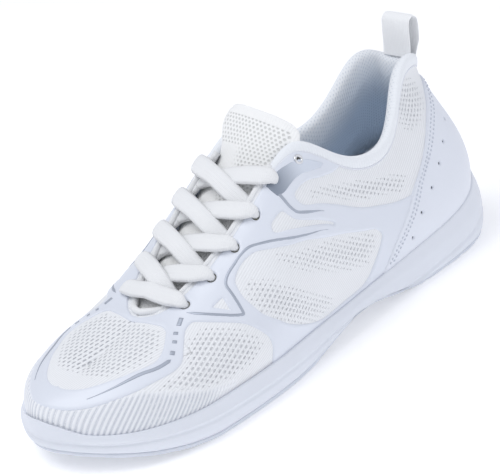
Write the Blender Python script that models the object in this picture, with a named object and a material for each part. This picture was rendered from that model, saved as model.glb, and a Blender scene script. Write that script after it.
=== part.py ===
"""A left cheer shoe: cupsole, knit upper, overlays, collar, tongue, lace and pull loop.

Run with: blender --background --python part.py
Lengths are in millimetres until a mesh is made, which is in metres.
x runs from the heel to the toe, y to the shoe's outer (left) side, z up from the ground.
"""
import math

import bmesh
import bpy
import numpy as np
from mathutils import Matrix, Vector

# Driving dimensions, in millimetres from the back of the heel.
MM = 0.001
MIDDLE = 130.1                              # middle of the footprint, forward of the heel
GAP = 0.3
OVERLAY = 0.9
MESH_DEPTH = OVERLAY + GAP
MESH_THICK = 1.2
LINING_DEPTH = MESH_DEPTH + MESH_THICK + 0.4
COLLAR_THICK = 3.8
STIFFENER_THICK = 1.0
OUTSOLE_THICK = 2.3
EYELET_HOLE = 2.3
LACE_WIDTH = 8.4
LACE_THICK = 3.0
HEEL_BULGE = 4.5                            # how far the sole's wall stands out behind the heel

# Flex lines of the sole: hinge place and the bend that its wedge has room for.
ARCH = {"x": 105.0, "z": 8.0, "bend": 40.0, "strip": 3.0}
BALL = {"x": 187.0, "z": 5.0, "bend": 55.0, "strip": 4.0}

# Stations round the upper, from the middle of the heel to the tip of the toe.
# A feather point is where the upper meets the sole's rim.
# A top point runs along the collar, the throat's edge and then the middle of the vamp.
FEATHER_OUTER = [(3, 0, 34), (8, 19, 30), (25, 32, 22.5), (58, 35, 18), (91, 35, 15), (118, 37, 14),
                 (145, 41, 15), (173, 44, 15), (201, 44, 15), (217, 42, 15), (232, 36, 15),
                 (245, 26, 15.5), (254.5, 12, 17), (259, -5, 19)]
FEATHER_INNER = [(3, 0, 34), (11, -19, 31), (30, -30, 22.5), (62, -30, 18), (93, -27, 15.5), (119, -28, 14.5),
                 (144, -33, 15), (171, -40, 15), (198, -44, 15), (213, -44, 15), (228, -41, 15),
                 (241, -34, 16), (252.5, -21, 17.5), (259, -5, 19)]
VAMP_MIDDLE = [(201, 0, 44), (210, -0.5, 41), (218, -1, 38.5), (225, -2, 36), (230, -3, 34.5)]
TOP_OUTER = [(17, 0, 84), (20, 11, 88), (38, 17, 88), (61, 25, 68), (91, 26, 72), (113, 19, 87),
             (142, 17, 73), (172, 14.5, 56), (194, 8, 46)] + VAMP_MIDDLE
TOP_INNER = [(17, 0, 84), (20, -12, 86.5), (34, -18, 86), (58, -23, 68), (91, -25, 72), (112, -20, 86),
             (142, -18, 73), (172, -15.5, 56), (194, -8, 46)] + VAMP_MIDDLE
# How each station's section bulges: lower handle up and out, upper handle out and down.
RISE = [.35, .35, .35, .35, .40, .45, .50, .50, .55, .60, .65, .70, .75, .75]
BULGE = [5, 5, 4, 4, 4, 4, 5, 4, 3, 2.5, 2, 2, 2, 2]
SHOULDER = [-.1, -.1, 0, .1, .2, .5, .6, .6, .6, .6, .6, .6, .6, .6]
DROP = [.35, .35, .35, .35, .28, .15, .08, .04, 0, 0, 0, 0, 0, 0]
# The sole's ground line and footbed, height against length.
GROUND = [(0, 3.5), (6, 1.2), (14, 0), (66, 0), (80, 2.2), (98, 6), (112, 6.2), (128, 3.6), (146, 0.6),
          (156, 0), (208, 0), (222, 1.2), (236, 3.4), (250, 6.4), (262, 9)]
FOOTBED = [(0, 17), (30, 15.5), (60, 13.5), (95, 11.5), (150, 10.5), (205, 10.5), (230, 11.5), (262, 14.5)]

LAST_STATION = len(FEATHER_OUTER) - 1
STEPS = 2                                   # grid columns between two stations
COLUMNS = 2 * LAST_STATION * STEPS          # once round the shoe, back to the heel
ROWS = 8
THROAT_END = 9                              # first station of the closed vamp
EYELET_X = [190, 175, 160, 145, 130]        # laced eyelets, from the toe end up
TOP_EYELET_X = 115
EYELET_ROW = 0.87
TOP_EYELET_ROW = 0.85

FABRIC = (0.93, 0.93, 0.92)
FILM = (0.86, 0.88, 0.94)
FOAM = (0.80, 0.84, 0.93)
LINING = (0.72, 0.78, 0.87)
LACE = (0.96, 0.96, 0.95)
GREY = (0.45, 0.47, 0.52)


def clear_scene():
    for item in list(bpy.data.objects):
        bpy.data.objects.remove(item, do_unlink=True)


def closed_spline(values):
    """Second derivatives of the smooth closed curve through values at 0, 1, 2..."""
    count = len(values)
    system = np.zeros((count, count))
    for i in range(count):
        system[i, i] = 4.0
        system[i, (i - 1) % count] += 1.0
        system[i, (i + 1) % count] += 1.0
    bend = 6.0 * (np.roll(values, -1, axis=0) - 2.0 * values + np.roll(values, 1, axis=0))
    return np.linalg.solve(system, bend)


def spline_at(values, curve, place):
    count = len(values)
    i = int(math.floor(place))
    f = place - i
    a, b = values[i % count], values[(i + 1) % count]
    ca, cb = curve[i % count], curve[(i + 1) % count]
    return a * (1 - f) + b * f + ((1 - f) ** 3 - (1 - f)) * ca / 6.0 + (f ** 3 - f) * cb / 6.0


def ring(outer, inner):
    """Stations of the whole loop: heel, outer side, toe, inner side."""
    return np.array(list(outer) + list(inner)[-2:0:-1], dtype=float)


STATIONS = np.hstack([
    ring(FEATHER_OUTER, FEATHER_INNER),
    ring(TOP_OUTER, TOP_INNER),
    ring([[a, b, c, d] for a, b, c, d in zip(RISE, BULGE, SHOULDER, DROP)],
         [[a, b, c, d] for a, b, c, d in zip(RISE, BULGE, SHOULDER, DROP)])])
STATION_CURVE = closed_spline(STATIONS)


def station(place):
    return spline_at(STATIONS, STATION_CURVE, place)


def outward(place):
    """Level direction out of the shoe at a place on the feather line."""
    run = station(place + 0.02)[:2] - station(place - 0.02)[:2]
    side = np.array([-run[1], run[0], 0.0])
    return side / np.linalg.norm(side)


def skin(place, t):
    """Point on the upper's outer face: place round the shoe, t from feather (0) to top (1)."""
    row = station(place)
    low, high = row[:3], row[3:6].copy()
    if THROAT_END <= min(place % len(STATIONS), len(STATIONS) - place % len(STATIONS)):
        mirror = station(len(STATIONS) - place)[3:6]
        high = (high + mirror) / 2
    rise, bulge, shoulder, drop = row[6:]
    height = high[2] - low[2]
    up = np.array([0, 0, 1.0])
    across = (high - low) * (1, 1, 0)
    p1 = low + outward(place) * bulge + up * rise * height
    p2 = high - across * shoulder - up * drop * height
    s = 1 - t
    return s ** 3 * low + 3 * s * s * t * p1 + 3 * s * t * t * p2 + t ** 3 * high


def skin_normal(place, t):
    along = skin(place + 0.03, min(t, 0.97)) - skin(place - 0.03, min(t, 0.97))
    climb = skin(place, min(t + 0.02, 1)) - skin(place, max(min(t + 0.02, 1) - 0.04, 0))
    n = np.cross(climb, along)
    return n / np.linalg.norm(n)


def grid_key(column, row):
    """The vamp's middle line is shared by both sides, so its grid points have one name."""
    column %= COLUMNS
    if row == ROWS and THROAT_END * STEPS <= min(column, COLUMNS - column):
        column = min(column, COLUMNS - column)
    return column, row


def grid_point(key):
    return skin(key[0] / STEPS, key[1] / ROWS)


def grid_normal(key):
    column, row = key
    n = skin_normal(column / STEPS, row / ROWS)
    if row == ROWS and THROAT_END * STEPS <= column <= COLUMNS - THROAT_END * STEPS:
        n = n + skin_normal((COLUMNS - column) / STEPS, 1.0)
        n[1] = 0.0
    return n / np.linalg.norm(n)


POINTS = {(c, r): grid_point((c, r)) for c in range(COLUMNS) for r in range(ROWS + 1)}
NORMALS = {(c, r): grid_normal((c, r)) for c in range(COLUMNS) for r in range(ROWS + 1)}


def material(name, colour, roughness, metallic=0.0):
    made = bpy.data.materials.new(name)
    made.use_nodes = True
    shader = made.node_tree.nodes["Principled BSDF"]
    shader.inputs["Base Color"].default_value = (*colour, 1.0)
    shader.inputs["Roughness"].default_value = roughness
    shader.inputs["Metallic"].default_value = metallic
    return made


def to_metres(point):
    return Vector(((point[0] - MIDDLE) * MM, point[1] * MM, point[2] * MM))


def finish(name, bm, colour, roughness=0.7, metallic=0.0, origin=(MIDDLE, 0, 0)):
    """Turn a closed bmesh in metres into an object with its origin where it turns."""
    bmesh.ops.recalc_face_normals(bm, faces=bm.faces)
    place = to_metres(origin)
    bmesh.ops.translate(bm, verts=bm.verts, vec=-place)
    mesh = bpy.data.meshes.new(name)
    bm.to_mesh(mesh)
    bm.free()
    made = bpy.data.objects.new(name, mesh)
    made.location = place
    mesh.materials.append(material(name, colour, roughness, metallic))
    bpy.context.scene.collection.objects.link(made)
    mesh.shade_smooth()
    mesh.set_sharp_from_angle(angle=math.radians(35))
    return made


def trim(bm, cuts):
    """Keep what lies behind each cut, a point and a direction in millimetres, and close the cut face."""
    for point, direction in cuts:
        found = bmesh.ops.bisect_plane(
            bm, geom=bm.verts[:] + bm.edges[:] + bm.faces[:], dist=1e-8,
            plane_co=to_metres(point), plane_no=Vector(direction), clear_outer=True)
        edges = [e for e in found["geom_cut"] if isinstance(e, bmesh.types.BMEdge) and e.is_boundary]
        if edges:
            bmesh.ops.edgenet_fill(bm, edges=edges)
    return bm


def behind(flex):
    """Cut for the part on the heel side of a flex line."""
    half = math.radians(flex["bend"] / 2)
    return (flex["x"] - flex["strip"], 0, flex["z"]), (math.cos(half), 0, math.sin(half))


def ahead(flex):
    """Cut for the part on the toe side of a flex line."""
    half = math.radians(flex["bend"] / 2)
    return (flex["x"] + flex["strip"], 0, flex["z"]), (-math.cos(half), 0, math.sin(half))


def facing(cut):
    """The cut for the flexing strip that fills the space past a rigid part's cut."""
    point, direction = np.array(cut[0], dtype=float), np.array(cut[1])
    return tuple(point + direction * GAP), tuple(-direction)


def strip(flex):
    return [facing(behind(flex)), facing(ahead(flex))]


def layer(cells, depth, thick, short_row=None):
    """Closed shell of grid cells, depth under the outer face and thick deep.

    A short row of grid points is pulled up by a gap, clear of the piece below it.
    """
    bm = bmesh.new()
    corners = {}

    def vert(key, level):
        if (key, level) not in corners:
            inset = depth if level == "out" else depth + thick
            point = POINTS[key] - NORMALS[key] * inset
            if key[1] == short_row:
                climb = POINTS[key[0], key[1] + 1] - POINTS[key]
                point = point + climb / np.linalg.norm(climb) * GAP * 1.5
            corners[key, level] = bm.verts.new(to_metres(point))
        return corners[key, level]

    borders = {}
    for column, row in cells:
        keys = [grid_key(column, row), grid_key(column + 1, row),
                grid_key(column + 1, row + 1), grid_key(column, row + 1)]
        for half in (keys[:3], keys[2:] + keys[:1]):
            bm.faces.new([vert(k, "out") for k in half])
            bm.faces.new([vert(k, "in") for k in reversed(half)])
        for a, b in zip(keys, keys[1:] + keys[:1]):
            if (b, a) in borders:
                del borders[b, a]
            else:
                borders[a, b] = True
    for a, b in borders:
        bm.faces.new([vert(b, "out"), vert(a, "out"), vert(a, "in"), vert(b, "in")])
    return bm


def cells(first, last, low=0, high=ROWS):
    """Grid cells from one station to another, counted round from the heel on the outer side."""
    return [(c, r) for c in range(round(first * STEPS), round(last * STEPS)) for r in range(low, high)]


def side_cells(side, first, last, low=0, high=ROWS):
    if side == "outer":
        return cells(first, last, low, high)
    return cells(-last, -first, low, high)


def away_from_middle(side):
    """Cut that keeps one side of the shoe clear of the middle plane."""
    sign = -1 if side == "outer" else 1
    return (0, -sign * GAP, 0), (0, sign, 0)


def make_upper_mesh():
    shell = (MESH_DEPTH, MESH_THICK)
    rear = trim(layer(cells(-5, 5), *shell), [behind(ARCH)])
    finish("quarter_rear", rear, FABRIC, 0.85)
    for side in ("outer", "inner"):
        sides = side_cells(side, 2, 5) + side_cells(side, 5, 6, 0, 6)
        flexing = trim(layer(sides, *shell), strip(ARCH))
        finish("quarter_flex_" + side, flexing, FABRIC, 0.85)
        mid = trim(layer(side_cells(side, 4.5, 8, 0, 6), *shell), [ahead(ARCH), behind(BALL)])
        finish("quarter_mid_" + side, mid, FABRIC, 0.85)
        bend = side_cells(side, 6, 8.5, 0, 6) + side_cells(side, 8.5, 11)
        vamp = trim(layer(bend, *shell), strip(BALL) + [away_from_middle(side)])
        finish("vamp_flex_" + side, vamp, FABRIC, 0.85)
    toe = trim(layer(cells(8.5, 2 * LAST_STATION - 8.5), *shell), [ahead(BALL)])
    finish("toe_box", toe, FABRIC, 0.85)


def make_overlays():
    counter = trim(layer(cells(-4, 4, 0, 6), 0, OVERLAY), [((32, 0, 74), (0.78, 0, 0.62))])
    finish("heel_counter", counter, FILM, 0.4)
    for side in ("outer", "inner"):
        saddle = trim(layer(side_cells(side, 4.5, 8, 0, 6), 0, OVERLAY), [ahead(ARCH), behind(BALL)])
        finish("saddle_overlay_" + side, saddle, FILM, 0.35)
        edge_strip = layer(side_cells(side, 5, 8.5, 6, 8), 0, OVERLAY, 6)
        eyestay = finish("eyestay_" + side, edge_strip, FILM, 0.35)
        cut_eyelets(eyestay, side)
    wrap = trim(layer(cells(9, 2 * LAST_STATION - 9, 0, 3), 0, OVERLAY), [ahead(BALL)])
    finish("toe_wrap", wrap, FABRIC, 0.8)


def make_inner_layers():
    stiffener = layer(cells(-3.5, 3.5, 0, 4), LINING_DEPTH, STIFFENER_THICK)
    finish("heel_stiffener", trim(stiffener, [behind(ARCH)]), FOAM, 0.5)
    puff = layer(cells(9.5, 2 * LAST_STATION - 9.5, 0, 5), LINING_DEPTH, STIFFENER_THICK)
    finish("toe_puff", trim(puff, [ahead(BALL)]), FOAM, 0.5)
    collar = trim(layer(cells(-5, 5, 5, 8), LINING_DEPTH, COLLAR_THICK), [behind(ARCH)])
    finish("collar_rear", collar, LINING, 0.9)
    for side in ("outer", "inner"):
        front = layer(side_cells(side, 2, 4.5, 5, 8), LINING_DEPTH, COLLAR_THICK)
        finish("collar_front_" + side, trim(front, strip(ARCH)), LINING, 0.9)


def find_place(x, side, t):
    """Station place on one side whose skin point at t lies at x."""
    low, high = 2.0, 12.0
    for _ in range(40):
        middle = (low + high) / 2
        place = middle if side == "outer" else len(STATIONS) - middle
        if skin(place, t)[0] < x:
            low = middle
        else:
            high = middle
    return low if side == "outer" else len(STATIONS) - low


def eyelet_frame(x, side, t=EYELET_ROW):
    place = find_place(x, side, t)
    return skin(place, t), skin_normal(place, t)


def cut_eyelets(eyestay, side):
    frames = [eyelet_frame(x, side) for x in EYELET_X] + [eyelet_frame(TOP_EYELET_X, side, TOP_EYELET_ROW)]
    for number, (centre, normal) in enumerate(frames):
        turn = Vector(normal).to_track_quat("Z", "Y").to_matrix().to_4x4()
        bm = bmesh.new()
        bmesh.ops.create_cone(bm, cap_ends=True, segments=14, radius1=EYELET_HOLE * MM,
                              radius2=EYELET_HOLE * MM, depth=6 * MM,
                              matrix=Matrix.Translation(to_metres(centre - normal * OVERLAY / 2)) @ turn)
        cutter = finish(f"eyelet_cutter_{side}_{number}", bm, GREY)
        cutter.hide_render = True
        cutter.display_type = "WIRE"
        hole = eyestay.modifiers.new("eyelet", "BOOLEAN")
        hole.object = cutter
        hole.operation = "DIFFERENCE"


def make_top_eyelets():
    """Metal rings set in the unlaced top holes."""
    for side in ("outer", "inner"):
        centre, normal = eyelet_frame(TOP_EYELET_X, side, TOP_EYELET_ROW)
        turn = Vector(normal).to_track_quat("Z", "Y").to_matrix()
        profile = [(1.2, -0.4), (EYELET_HOLE - GAP, -0.4), (EYELET_HOLE - GAP, GAP + 0.1), (3.3, GAP + 0.2),
                   (3.1, 0.9), (1.6, 0.9), (1.2, 0.4)]
        bm = bmesh.new()
        steps = 16
        rings = []
        for i in range(steps):
            angle = 2 * math.pi * i / steps
            spokes = [Vector((r * math.cos(angle), r * math.sin(angle), h)) for r, h in profile]
            rings.append([bm.verts.new(to_metres(Vector(centre) + turn @ p)) for p in spokes])
        for i in range(steps):
            a, b = rings[i], rings[(i + 1) % steps]
            for j in range(len(profile)):
                k = (j + 1) % len(profile)
                bm.faces.new([a[j], b[j], b[k], a[k]])
        finish("top_eyelet_" + side, bm, GREY, 0.3, 0.9)


def height_at(line, x):
    xs, zs = zip(*line)
    return float(np.interp(x, xs, zs))


def outline(offset, height, heel_offset=None):
    """Points of the feather line moved out by offset, once round from the heel, where it may differ."""
    points = []
    heel_offset = offset if heel_offset is None else heel_offset
    for column in range(COLUMNS):
        place = column / STEPS
        from_heel = min(column, COLUMNS - column) / (4 * STEPS)
        reach = heel_offset + (offset - heel_offset) * min(from_heel, 1)
        base = station(place)[:3] + outward(place) * reach
        points.append(np.array([base[0], base[1], height(base[0], base[2])]))
    return points


def slab(rings):
    """Closed solid from outlines, each end filled with strips across the shoe."""
    bm = bmesh.new()
    loops = [[bm.verts.new(to_metres(p)) for p in points] for points in rings]
    for a, b in zip(loops, loops[1:]):
        for i in range(COLUMNS):
            j = (i + 1) % COLUMNS
            bm.faces.new([a[i], a[j], b[j], b[i]])
    for loop in (loops[0], loops[-1]):
        for i in range(COLUMNS // 2):
            corners = [loop[i], loop[i + 1], loop[-i - 1], loop[-i]]
            bm.faces.new(list(dict.fromkeys(corners)))
    return bm


def ground(x, feather=0):
    return height_at(GROUND, x)


def footbed(x, feather=0):
    return height_at(FOOTBED, x)


def make_midsole():
    def rim(x, feather):
        return feather - GAP

    def wall(x, feather):
        return ground(x) + 0.5 * (feather - ground(x))

    def bottom(x, feather):
        return ground(x) + OUTSOLE_THICK + GAP

    rings = [outline(-5.2, footbed), outline(-4.6, rim), outline(1.0, rim), outline(2.7, wall, HEEL_BULGE),
             outline(1.2, bottom)]
    parts = {"midsole_heel": [behind(ARCH)], "midsole_flex_arch": strip(ARCH),
             "midsole_mid": [ahead(ARCH), behind(BALL)], "midsole_flex_ball": strip(BALL),
             "midsole_toe": [ahead(BALL)]}
    for name, cuts in parts.items():
        finish(name, trim(slab(rings), cuts), FOAM, 0.55)


def make_outsole():
    def top(x, feather):
        return ground(x) + OUTSOLE_THICK

    rings = [outline(0.8, top), outline(-1.4, ground)]
    parts = {"outsole_heel": [behind(ARCH)], "outsole_mid": [ahead(ARCH), behind(BALL)],
             "outsole_toe": [ahead(BALL)]}
    for name, cuts in parts.items():
        finish(name, trim(slab(rings), cuts), FILM, 0.6)


def make_insole():
    board = [outline(-5.8, lambda x, f: footbed(x) + GAP), outline(-5.8, lambda x, f: footbed(x) + 1.5)]
    finish("strobel_board", slab(board), FABRIC, 0.9)
    sock = [outline(-6.0, lambda x, f: footbed(x) + 1.8), outline(-6.0, lambda x, f: footbed(x) + 5.6)]
    finish("insole", slab(sock), LINING, 0.9)


def throat_middle(x, lift=0.0):
    """Point in the middle of the throat, level with its edges, lift above them."""
    a = skin(find_place(x, "outer", 1.0), 1.0)
    b = skin(find_place(x, "inner", 1.0), 1.0)
    return (a + b) / 2 + np.array([0.28, 0, 0.96]) * lift


TONGUE_X = [202, 194, 184, 172, 160, 148, 138, 130]
TONGUE_HALF = [5, 9, 12, 14.5, 16.5, 17.5, 18, 18]
TONGUE_THICK = 4.0
TONGUE_TOP = [(127.5, 0, 79.3), (121, 0, 87), (115, 0, 93), (110.5, 0, 97)]
TONGUE_TOP_HALF = [14, 14.5, 16, 14]


def tongue_section(middle, back, half, thick):
    """Outline of the tongue across the shoe at one place, arched over the foot."""
    crown = 5.0
    points = []
    across = (-1.0, -0.55, 0.0, 0.55, 1.0)
    for level, order in ((0.0, across), (thick, across[::-1])):
        for w in order:
            edge = 0.35 * thick if abs(w) == 1 else 0.0
            inset = level + (edge if level == 0 else -edge)
            points.append(middle + np.array([0, w * half, 0]) - back * (inset + crown * w * w))
    return points


def loft(sections, close=False):
    bm = bmesh.new()
    rings = [[bm.verts.new(to_metres(p)) for p in section] for section in sections]
    pairs = list(zip(rings, rings[1:])) + ([(rings[-1], rings[0])] if close else [])
    for a, b in pairs:
        for i in range(len(a)):
            j = (i + 1) % len(a)
            bm.faces.new([a[i], a[j], b[j], b[i]])
    if not close:
        bm.faces.new(rings[0])
        bm.faces.new(rings[-1][::-1])
    return bm


def make_tongue():
    under_lace = LACE_THICK + 2.2
    sections = []
    for x, half in zip(TONGUE_X, TONGUE_HALF):
        middle = throat_middle(x, -under_lace + 2.0)
        slope = throat_middle(x - 2) - throat_middle(x + 2)
        back = np.cross(slope, (0, 1.0, 0))
        back /= np.linalg.norm(back)
        back *= 1 if back[2] > 0 else -1
        sections.append(tongue_section(middle, back, half, TONGUE_THICK))
    finish("tongue_base", loft(sections), FABRIC, 0.9)
    lean = np.array([0.82, 0, 0.57])
    sections = [tongue_section(np.array(p, dtype=float), lean, half, 6.0)
                for p, half in zip(TONGUE_TOP, TONGUE_TOP_HALF)]
    finish("tongue_flap", loft(sections), FABRIC, 0.9, origin=(128, 0, 78))


def lace_route():
    """Points, upward directions and widths of the one lace, from one tucked end to the other."""
    def hole(x, side, level, shift=0.0, t=EYELET_ROW):
        centre, normal = eyelet_frame(x + shift, side, t)
        return centre + normal * level, normal

    over = LACE_THICK / 2 + 0.5
    under = -(OVERLAY + LACE_THICK / 2 + 0.5)
    full, narrow = (LACE_WIDTH / 2, LACE_THICK / 2), (1.5, 1.5)
    other = {"outer": "inner", "inner": "outer"}

    def into_hole(x, side):
        """From the throat's edge over the eyestay and down through the hole."""
        yield (*hole(x, side, over, 2.5, 0.99), full)
        yield (*hole(x, side, over, 0.8, 0.93), full)
        yield (*hole(x, side, 1.6, 0.0, 0.875), (2.2, 1.4))
        yield (*hole(x, side, -0.45), narrow)
        yield (*hole(x, side, under + 0.2, -0.4, 0.885), (2.2, 1.4))

    def out_from_under(x, side):
        yield (*hole(x, side, under, -2.0, 0.94), full)
        yield (*hole(x, side, under, -3.5, 1.0), full)

    def crossing(x_low, x_high, from_side):
        lift = 5.9 if from_side == "outer" else 2.4
        middle = throat_middle((x_low + x_high) / 2, lift)
        yield middle, np.array([0.5, 0, 0.87]), full

    def strand(side):
        yield from into_hole(EYELET_X[0], side)
        for low, high in zip(EYELET_X, EYELET_X[1:]):
            yield from out_from_under(low, side)
            yield from crossing(low, high, side)
            side = other[side]
            yield from into_hole(high, side)
        yield from out_from_under(EYELET_X[-1], side)

    start = list(strand("inner"))[::-1]
    bar = [(throat_middle(EYELET_X[0] + 1, 4.2), np.array([0.4, 0, 0.9]), full)]
    return start + bar + list(strand("outer"))


def make_lace():
    route = lace_route()
    values = np.array([np.concatenate([p, n, w]) for p, n, w in route])
    sections = []
    per_span = 2
    for i in range(len(values) - 1):
        before, a, b = values[max(i - 1, 0)], values[i], values[i + 1]
        after = values[min(i + 2, len(values) - 1)]
        for step in range(per_span + (i == len(values) - 2)):
            f = step / per_span
            spot = (a + f * (b - before) / 2 + f * f * (before - 2.5 * a + 2 * b - after / 2)
                    + f ** 3 * (1.5 * (a - b) + (after - before) / 2))
            slope = ((b - before) / 2 + 2 * f * (before - 2.5 * a + 2 * b - after / 2)
                     + 3 * f * f * (1.5 * (a - b) + (after - before) / 2))
            sections.append(lace_section(spot, slope[:3]))
    finish("lace", loft(sections), LACE, 0.9)


def lace_section(spot, run):
    centre, up, (half_wide, half_thick) = spot[:3], spot[3:6], spot[6:]
    run = run / np.linalg.norm(run)
    across = np.cross(run, up)
    across /= np.linalg.norm(across)
    up = np.cross(across, run)
    points = []
    for k in range(8):
        angle = math.pi * (k + 0.5) / 4
        points.append(centre + across * half_wide * math.cos(angle) + up * half_thick * math.sin(angle))
    return points


LOOP_MIDDLE = (14.5, 97.0)
LOOP_HALF_WIDTH = 8.0
LOOP_PIVOT = (16.0, 0.0, 89.0)


def make_pull_loop():
    """A band of webbing standing up from the heel, with a hole for a finger from side to side."""
    webbing = 1.2
    sections = []
    for k in range(20):
        angle = 2 * math.pi * k / 20 - math.pi / 2
        pinch = 0.45 + 0.55 * (math.sin(angle) + 1) / 2 if math.sin(angle) < 0.4 else 0.86
        direction = np.array([math.cos(angle) * pinch, 0, math.sin(angle)])
        size = np.array([5.8, 0, 7.8])
        outer = np.array([LOOP_MIDDLE[0], 0, LOOP_MIDDLE[1]]) + direction * size
        inner = outer - direction / np.linalg.norm(direction) * webbing
        wide = np.array([0, LOOP_HALF_WIDTH, 0])
        sections.append([outer - wide, outer + wide, inner + wide, inner - wide])
    finish("pull_loop", loft(sections, close=True), FABRIC, 0.8, origin=LOOP_PIVOT)
    tab = layer(cells(-0.5, 0.5, 6, 8), -1.5, 1.2)
    finish("pull_loop_tab", tab, FABRIC, 0.8)


def main():
    clear_scene()
    make_outsole()
    make_midsole()
    make_insole()
    make_upper_mesh()
    make_overlays()
    make_inner_layers()
    make_top_eyelets()
    make_tongue()
    make_lace()
    make_pull_loop()


main()
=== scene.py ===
"""Looks of the left cheer shoe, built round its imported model.

Lengths are in millimetres: x from the back of the heel to the toe, y to the shoe's outer (left)
side, z up from the ground. to_world() turns them into the frame's metres.
A spot on the upper is (place, level): place counts the last's stations round the shoe from the
heel, outer side first, and level goes from the feather edge (0) to the topline or vamp middle (1).
"""
import math

import bpy
import numpy as np
from mathutils import Matrix, Vector
from mathutils.geometry import delaunay_2d_cdt
from mathutils.kdtree import KDTree


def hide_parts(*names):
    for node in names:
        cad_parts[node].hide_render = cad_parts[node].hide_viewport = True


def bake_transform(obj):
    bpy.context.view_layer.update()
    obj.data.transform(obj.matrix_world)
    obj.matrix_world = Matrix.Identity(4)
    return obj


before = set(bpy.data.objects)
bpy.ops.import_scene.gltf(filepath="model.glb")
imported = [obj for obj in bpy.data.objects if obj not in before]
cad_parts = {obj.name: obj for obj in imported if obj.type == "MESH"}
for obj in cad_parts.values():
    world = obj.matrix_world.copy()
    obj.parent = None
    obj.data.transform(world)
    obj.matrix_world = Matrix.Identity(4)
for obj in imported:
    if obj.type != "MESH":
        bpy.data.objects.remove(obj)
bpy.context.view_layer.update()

MM = 0.001
HEEL = 130.1                                # frame's origin, forward of the back of the heel

# The last's stations, as in the CAD part.
FEATHER_OUTER = [(3, 0, 34), (8, 19, 30), (25, 32, 22.5), (58, 35, 18), (91, 35, 15), (118, 37, 14),
                 (145, 41, 15), (173, 44, 15), (201, 44, 15), (217, 42, 15), (232, 36, 15),
                 (245, 26, 15.5), (254.5, 12, 17), (259, -5, 19)]
FEATHER_INNER = [(3, 0, 34), (11, -19, 31), (30, -30, 22.5), (62, -30, 18), (93, -27, 15.5),
                 (119, -28, 14.5), (144, -33, 15), (171, -40, 15), (198, -44, 15), (213, -44, 15),
                 (228, -41, 15), (241, -34, 16), (252.5, -21, 17.5), (259, -5, 19)]
VAMP_MIDDLE = [(201, 0, 44), (210, -0.5, 41), (218, -1, 38.5), (225, -2, 36), (230, -3, 34.5)]
TOP_OUTER = [(17, 0, 84), (20, 11, 88), (38, 17, 88), (61, 25, 68), (91, 26, 72), (113, 19, 87),
             (142, 17, 73), (172, 14.5, 56), (194, 8, 46)] + VAMP_MIDDLE
TOP_INNER = [(17, 0, 84), (20, -12, 86.5), (34, -18, 86), (58, -23, 68), (91, -25, 72),
             (112, -20, 86), (142, -18, 73), (172, -15.5, 56), (194, -8, 46)] + VAMP_MIDDLE
RISE = [.35, .35, .35, .35, .40, .45, .50, .50, .55, .60, .65, .70, .75, .75]
BULGE = [5, 5, 4, 4, 4, 4, 5, 4, 3, 2.5, 2, 2, 2, 2]
SHOULDER = [-.1, -.1, 0, .1, .2, .5, .6, .6, .6, .6, .6, .6, .6, .6]
DROP = [.35, .35, .35, .35, .28, .15, .08, .04, 0, 0, 0, 0, 0, 0]
GROUND = [(0, 3.5), (6, 1.2), (14, 0), (66, 0), (80, 2.2), (98, 6), (112, 6.2), (128, 3.6),
          (146, 0.6), (156, 0), (208, 0), (222, 1.2), (236, 3.4), (250, 6.4), (262, 9)]
FOOTBED = [(0, 17), (30, 15.5), (60, 13.5), (95, 11.5), (150, 10.5), (205, 10.5), (230, 11.5), (262, 14.5)]

TOE = 13                                    # station at the tip of the toe
THROAT_END = 9                              # first station of the closed vamp
SPLIT = 6.2                                 # station where long pieces change from rear to front
EYELET_X = [190, 175, 160, 145, 130]        # laced eyelets, from the toe end up
TOP_EYELET_X = 115
EYELET_LEVEL = 0.87
TOP_EYELET_LEVEL = 0.85
EYELET_RADIUS = 2.3
TOP_EYELET_RADIUS = 1.6

KNIT_DEPTH = 0.55                           # knit's face under the last's outer face
FILM_THICK = 0.5
LACE_WIDTH = 8.4
LACE_THICK = 3.0


# ---- lines and angles ----

def turns(count):
    """Angles once round, evenly spread."""
    return np.linspace(0, 2 * math.pi, count, endpoint=False)


def unit(v):
    return v / np.linalg.norm(v, axis=-1, keepdims=True)


def lengths(points):
    """Distance along a line of points up to each of them."""
    return np.concatenate([[0], np.cumsum(np.linalg.norm(np.diff(points, axis=0), axis=1))])


def vectors(u, v):
    """Grain directions u and v as one list of vectors."""
    return np.stack([u, v, 0 * u], axis=-1).reshape(-1, 3)


# ---- the upper's surface ----

def closed_spline(values):
    """Second derivatives of the smooth closed curve through values at 0, 1, 2..."""
    count = len(values)
    system = np.eye(count) * 4.0 + np.roll(np.eye(count), 1, axis=1) + np.roll(np.eye(count), -1, axis=1)
    bend = 6.0 * (np.roll(values, -1, axis=0) - 2.0 * values + np.roll(values, 1, axis=0))
    return np.linalg.solve(system, bend)


def ring(outer, inner):
    return np.array(list(outer) + list(inner)[-2:0:-1], dtype=float)


# Of each station: feather point, top point and the section curve's handles.
HANDLES = list(zip(RISE, BULGE, SHOULDER, DROP))
STATIONS = np.hstack([ring(FEATHER_OUTER, FEATHER_INNER), ring(TOP_OUTER, TOP_INNER), ring(HANDLES, HANDLES)])
CURVE = closed_spline(STATIONS)
COUNT = len(STATIONS)
UP = np.array([0.0, 0.0, 1.0])
SIDE = np.array([0.0, 1.0, 0.0])


def as_floats(*values):
    """Arrays of one shape."""
    return np.broadcast_arrays(*[np.asarray(value, dtype=float) for value in values])


def station(place):
    place = np.asarray(place, dtype=float)
    i = np.floor(place).astype(int)
    f = (place - i)[..., None]
    a, b = STATIONS[i % COUNT], STATIONS[(i + 1) % COUNT]
    ca, cb = CURVE[i % COUNT], CURVE[(i + 1) % COUNT]
    return a * (1 - f) + b * f + ((1 - f) ** 3 - (1 - f)) * ca / 6 + (f ** 3 - f) * cb / 6


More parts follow.
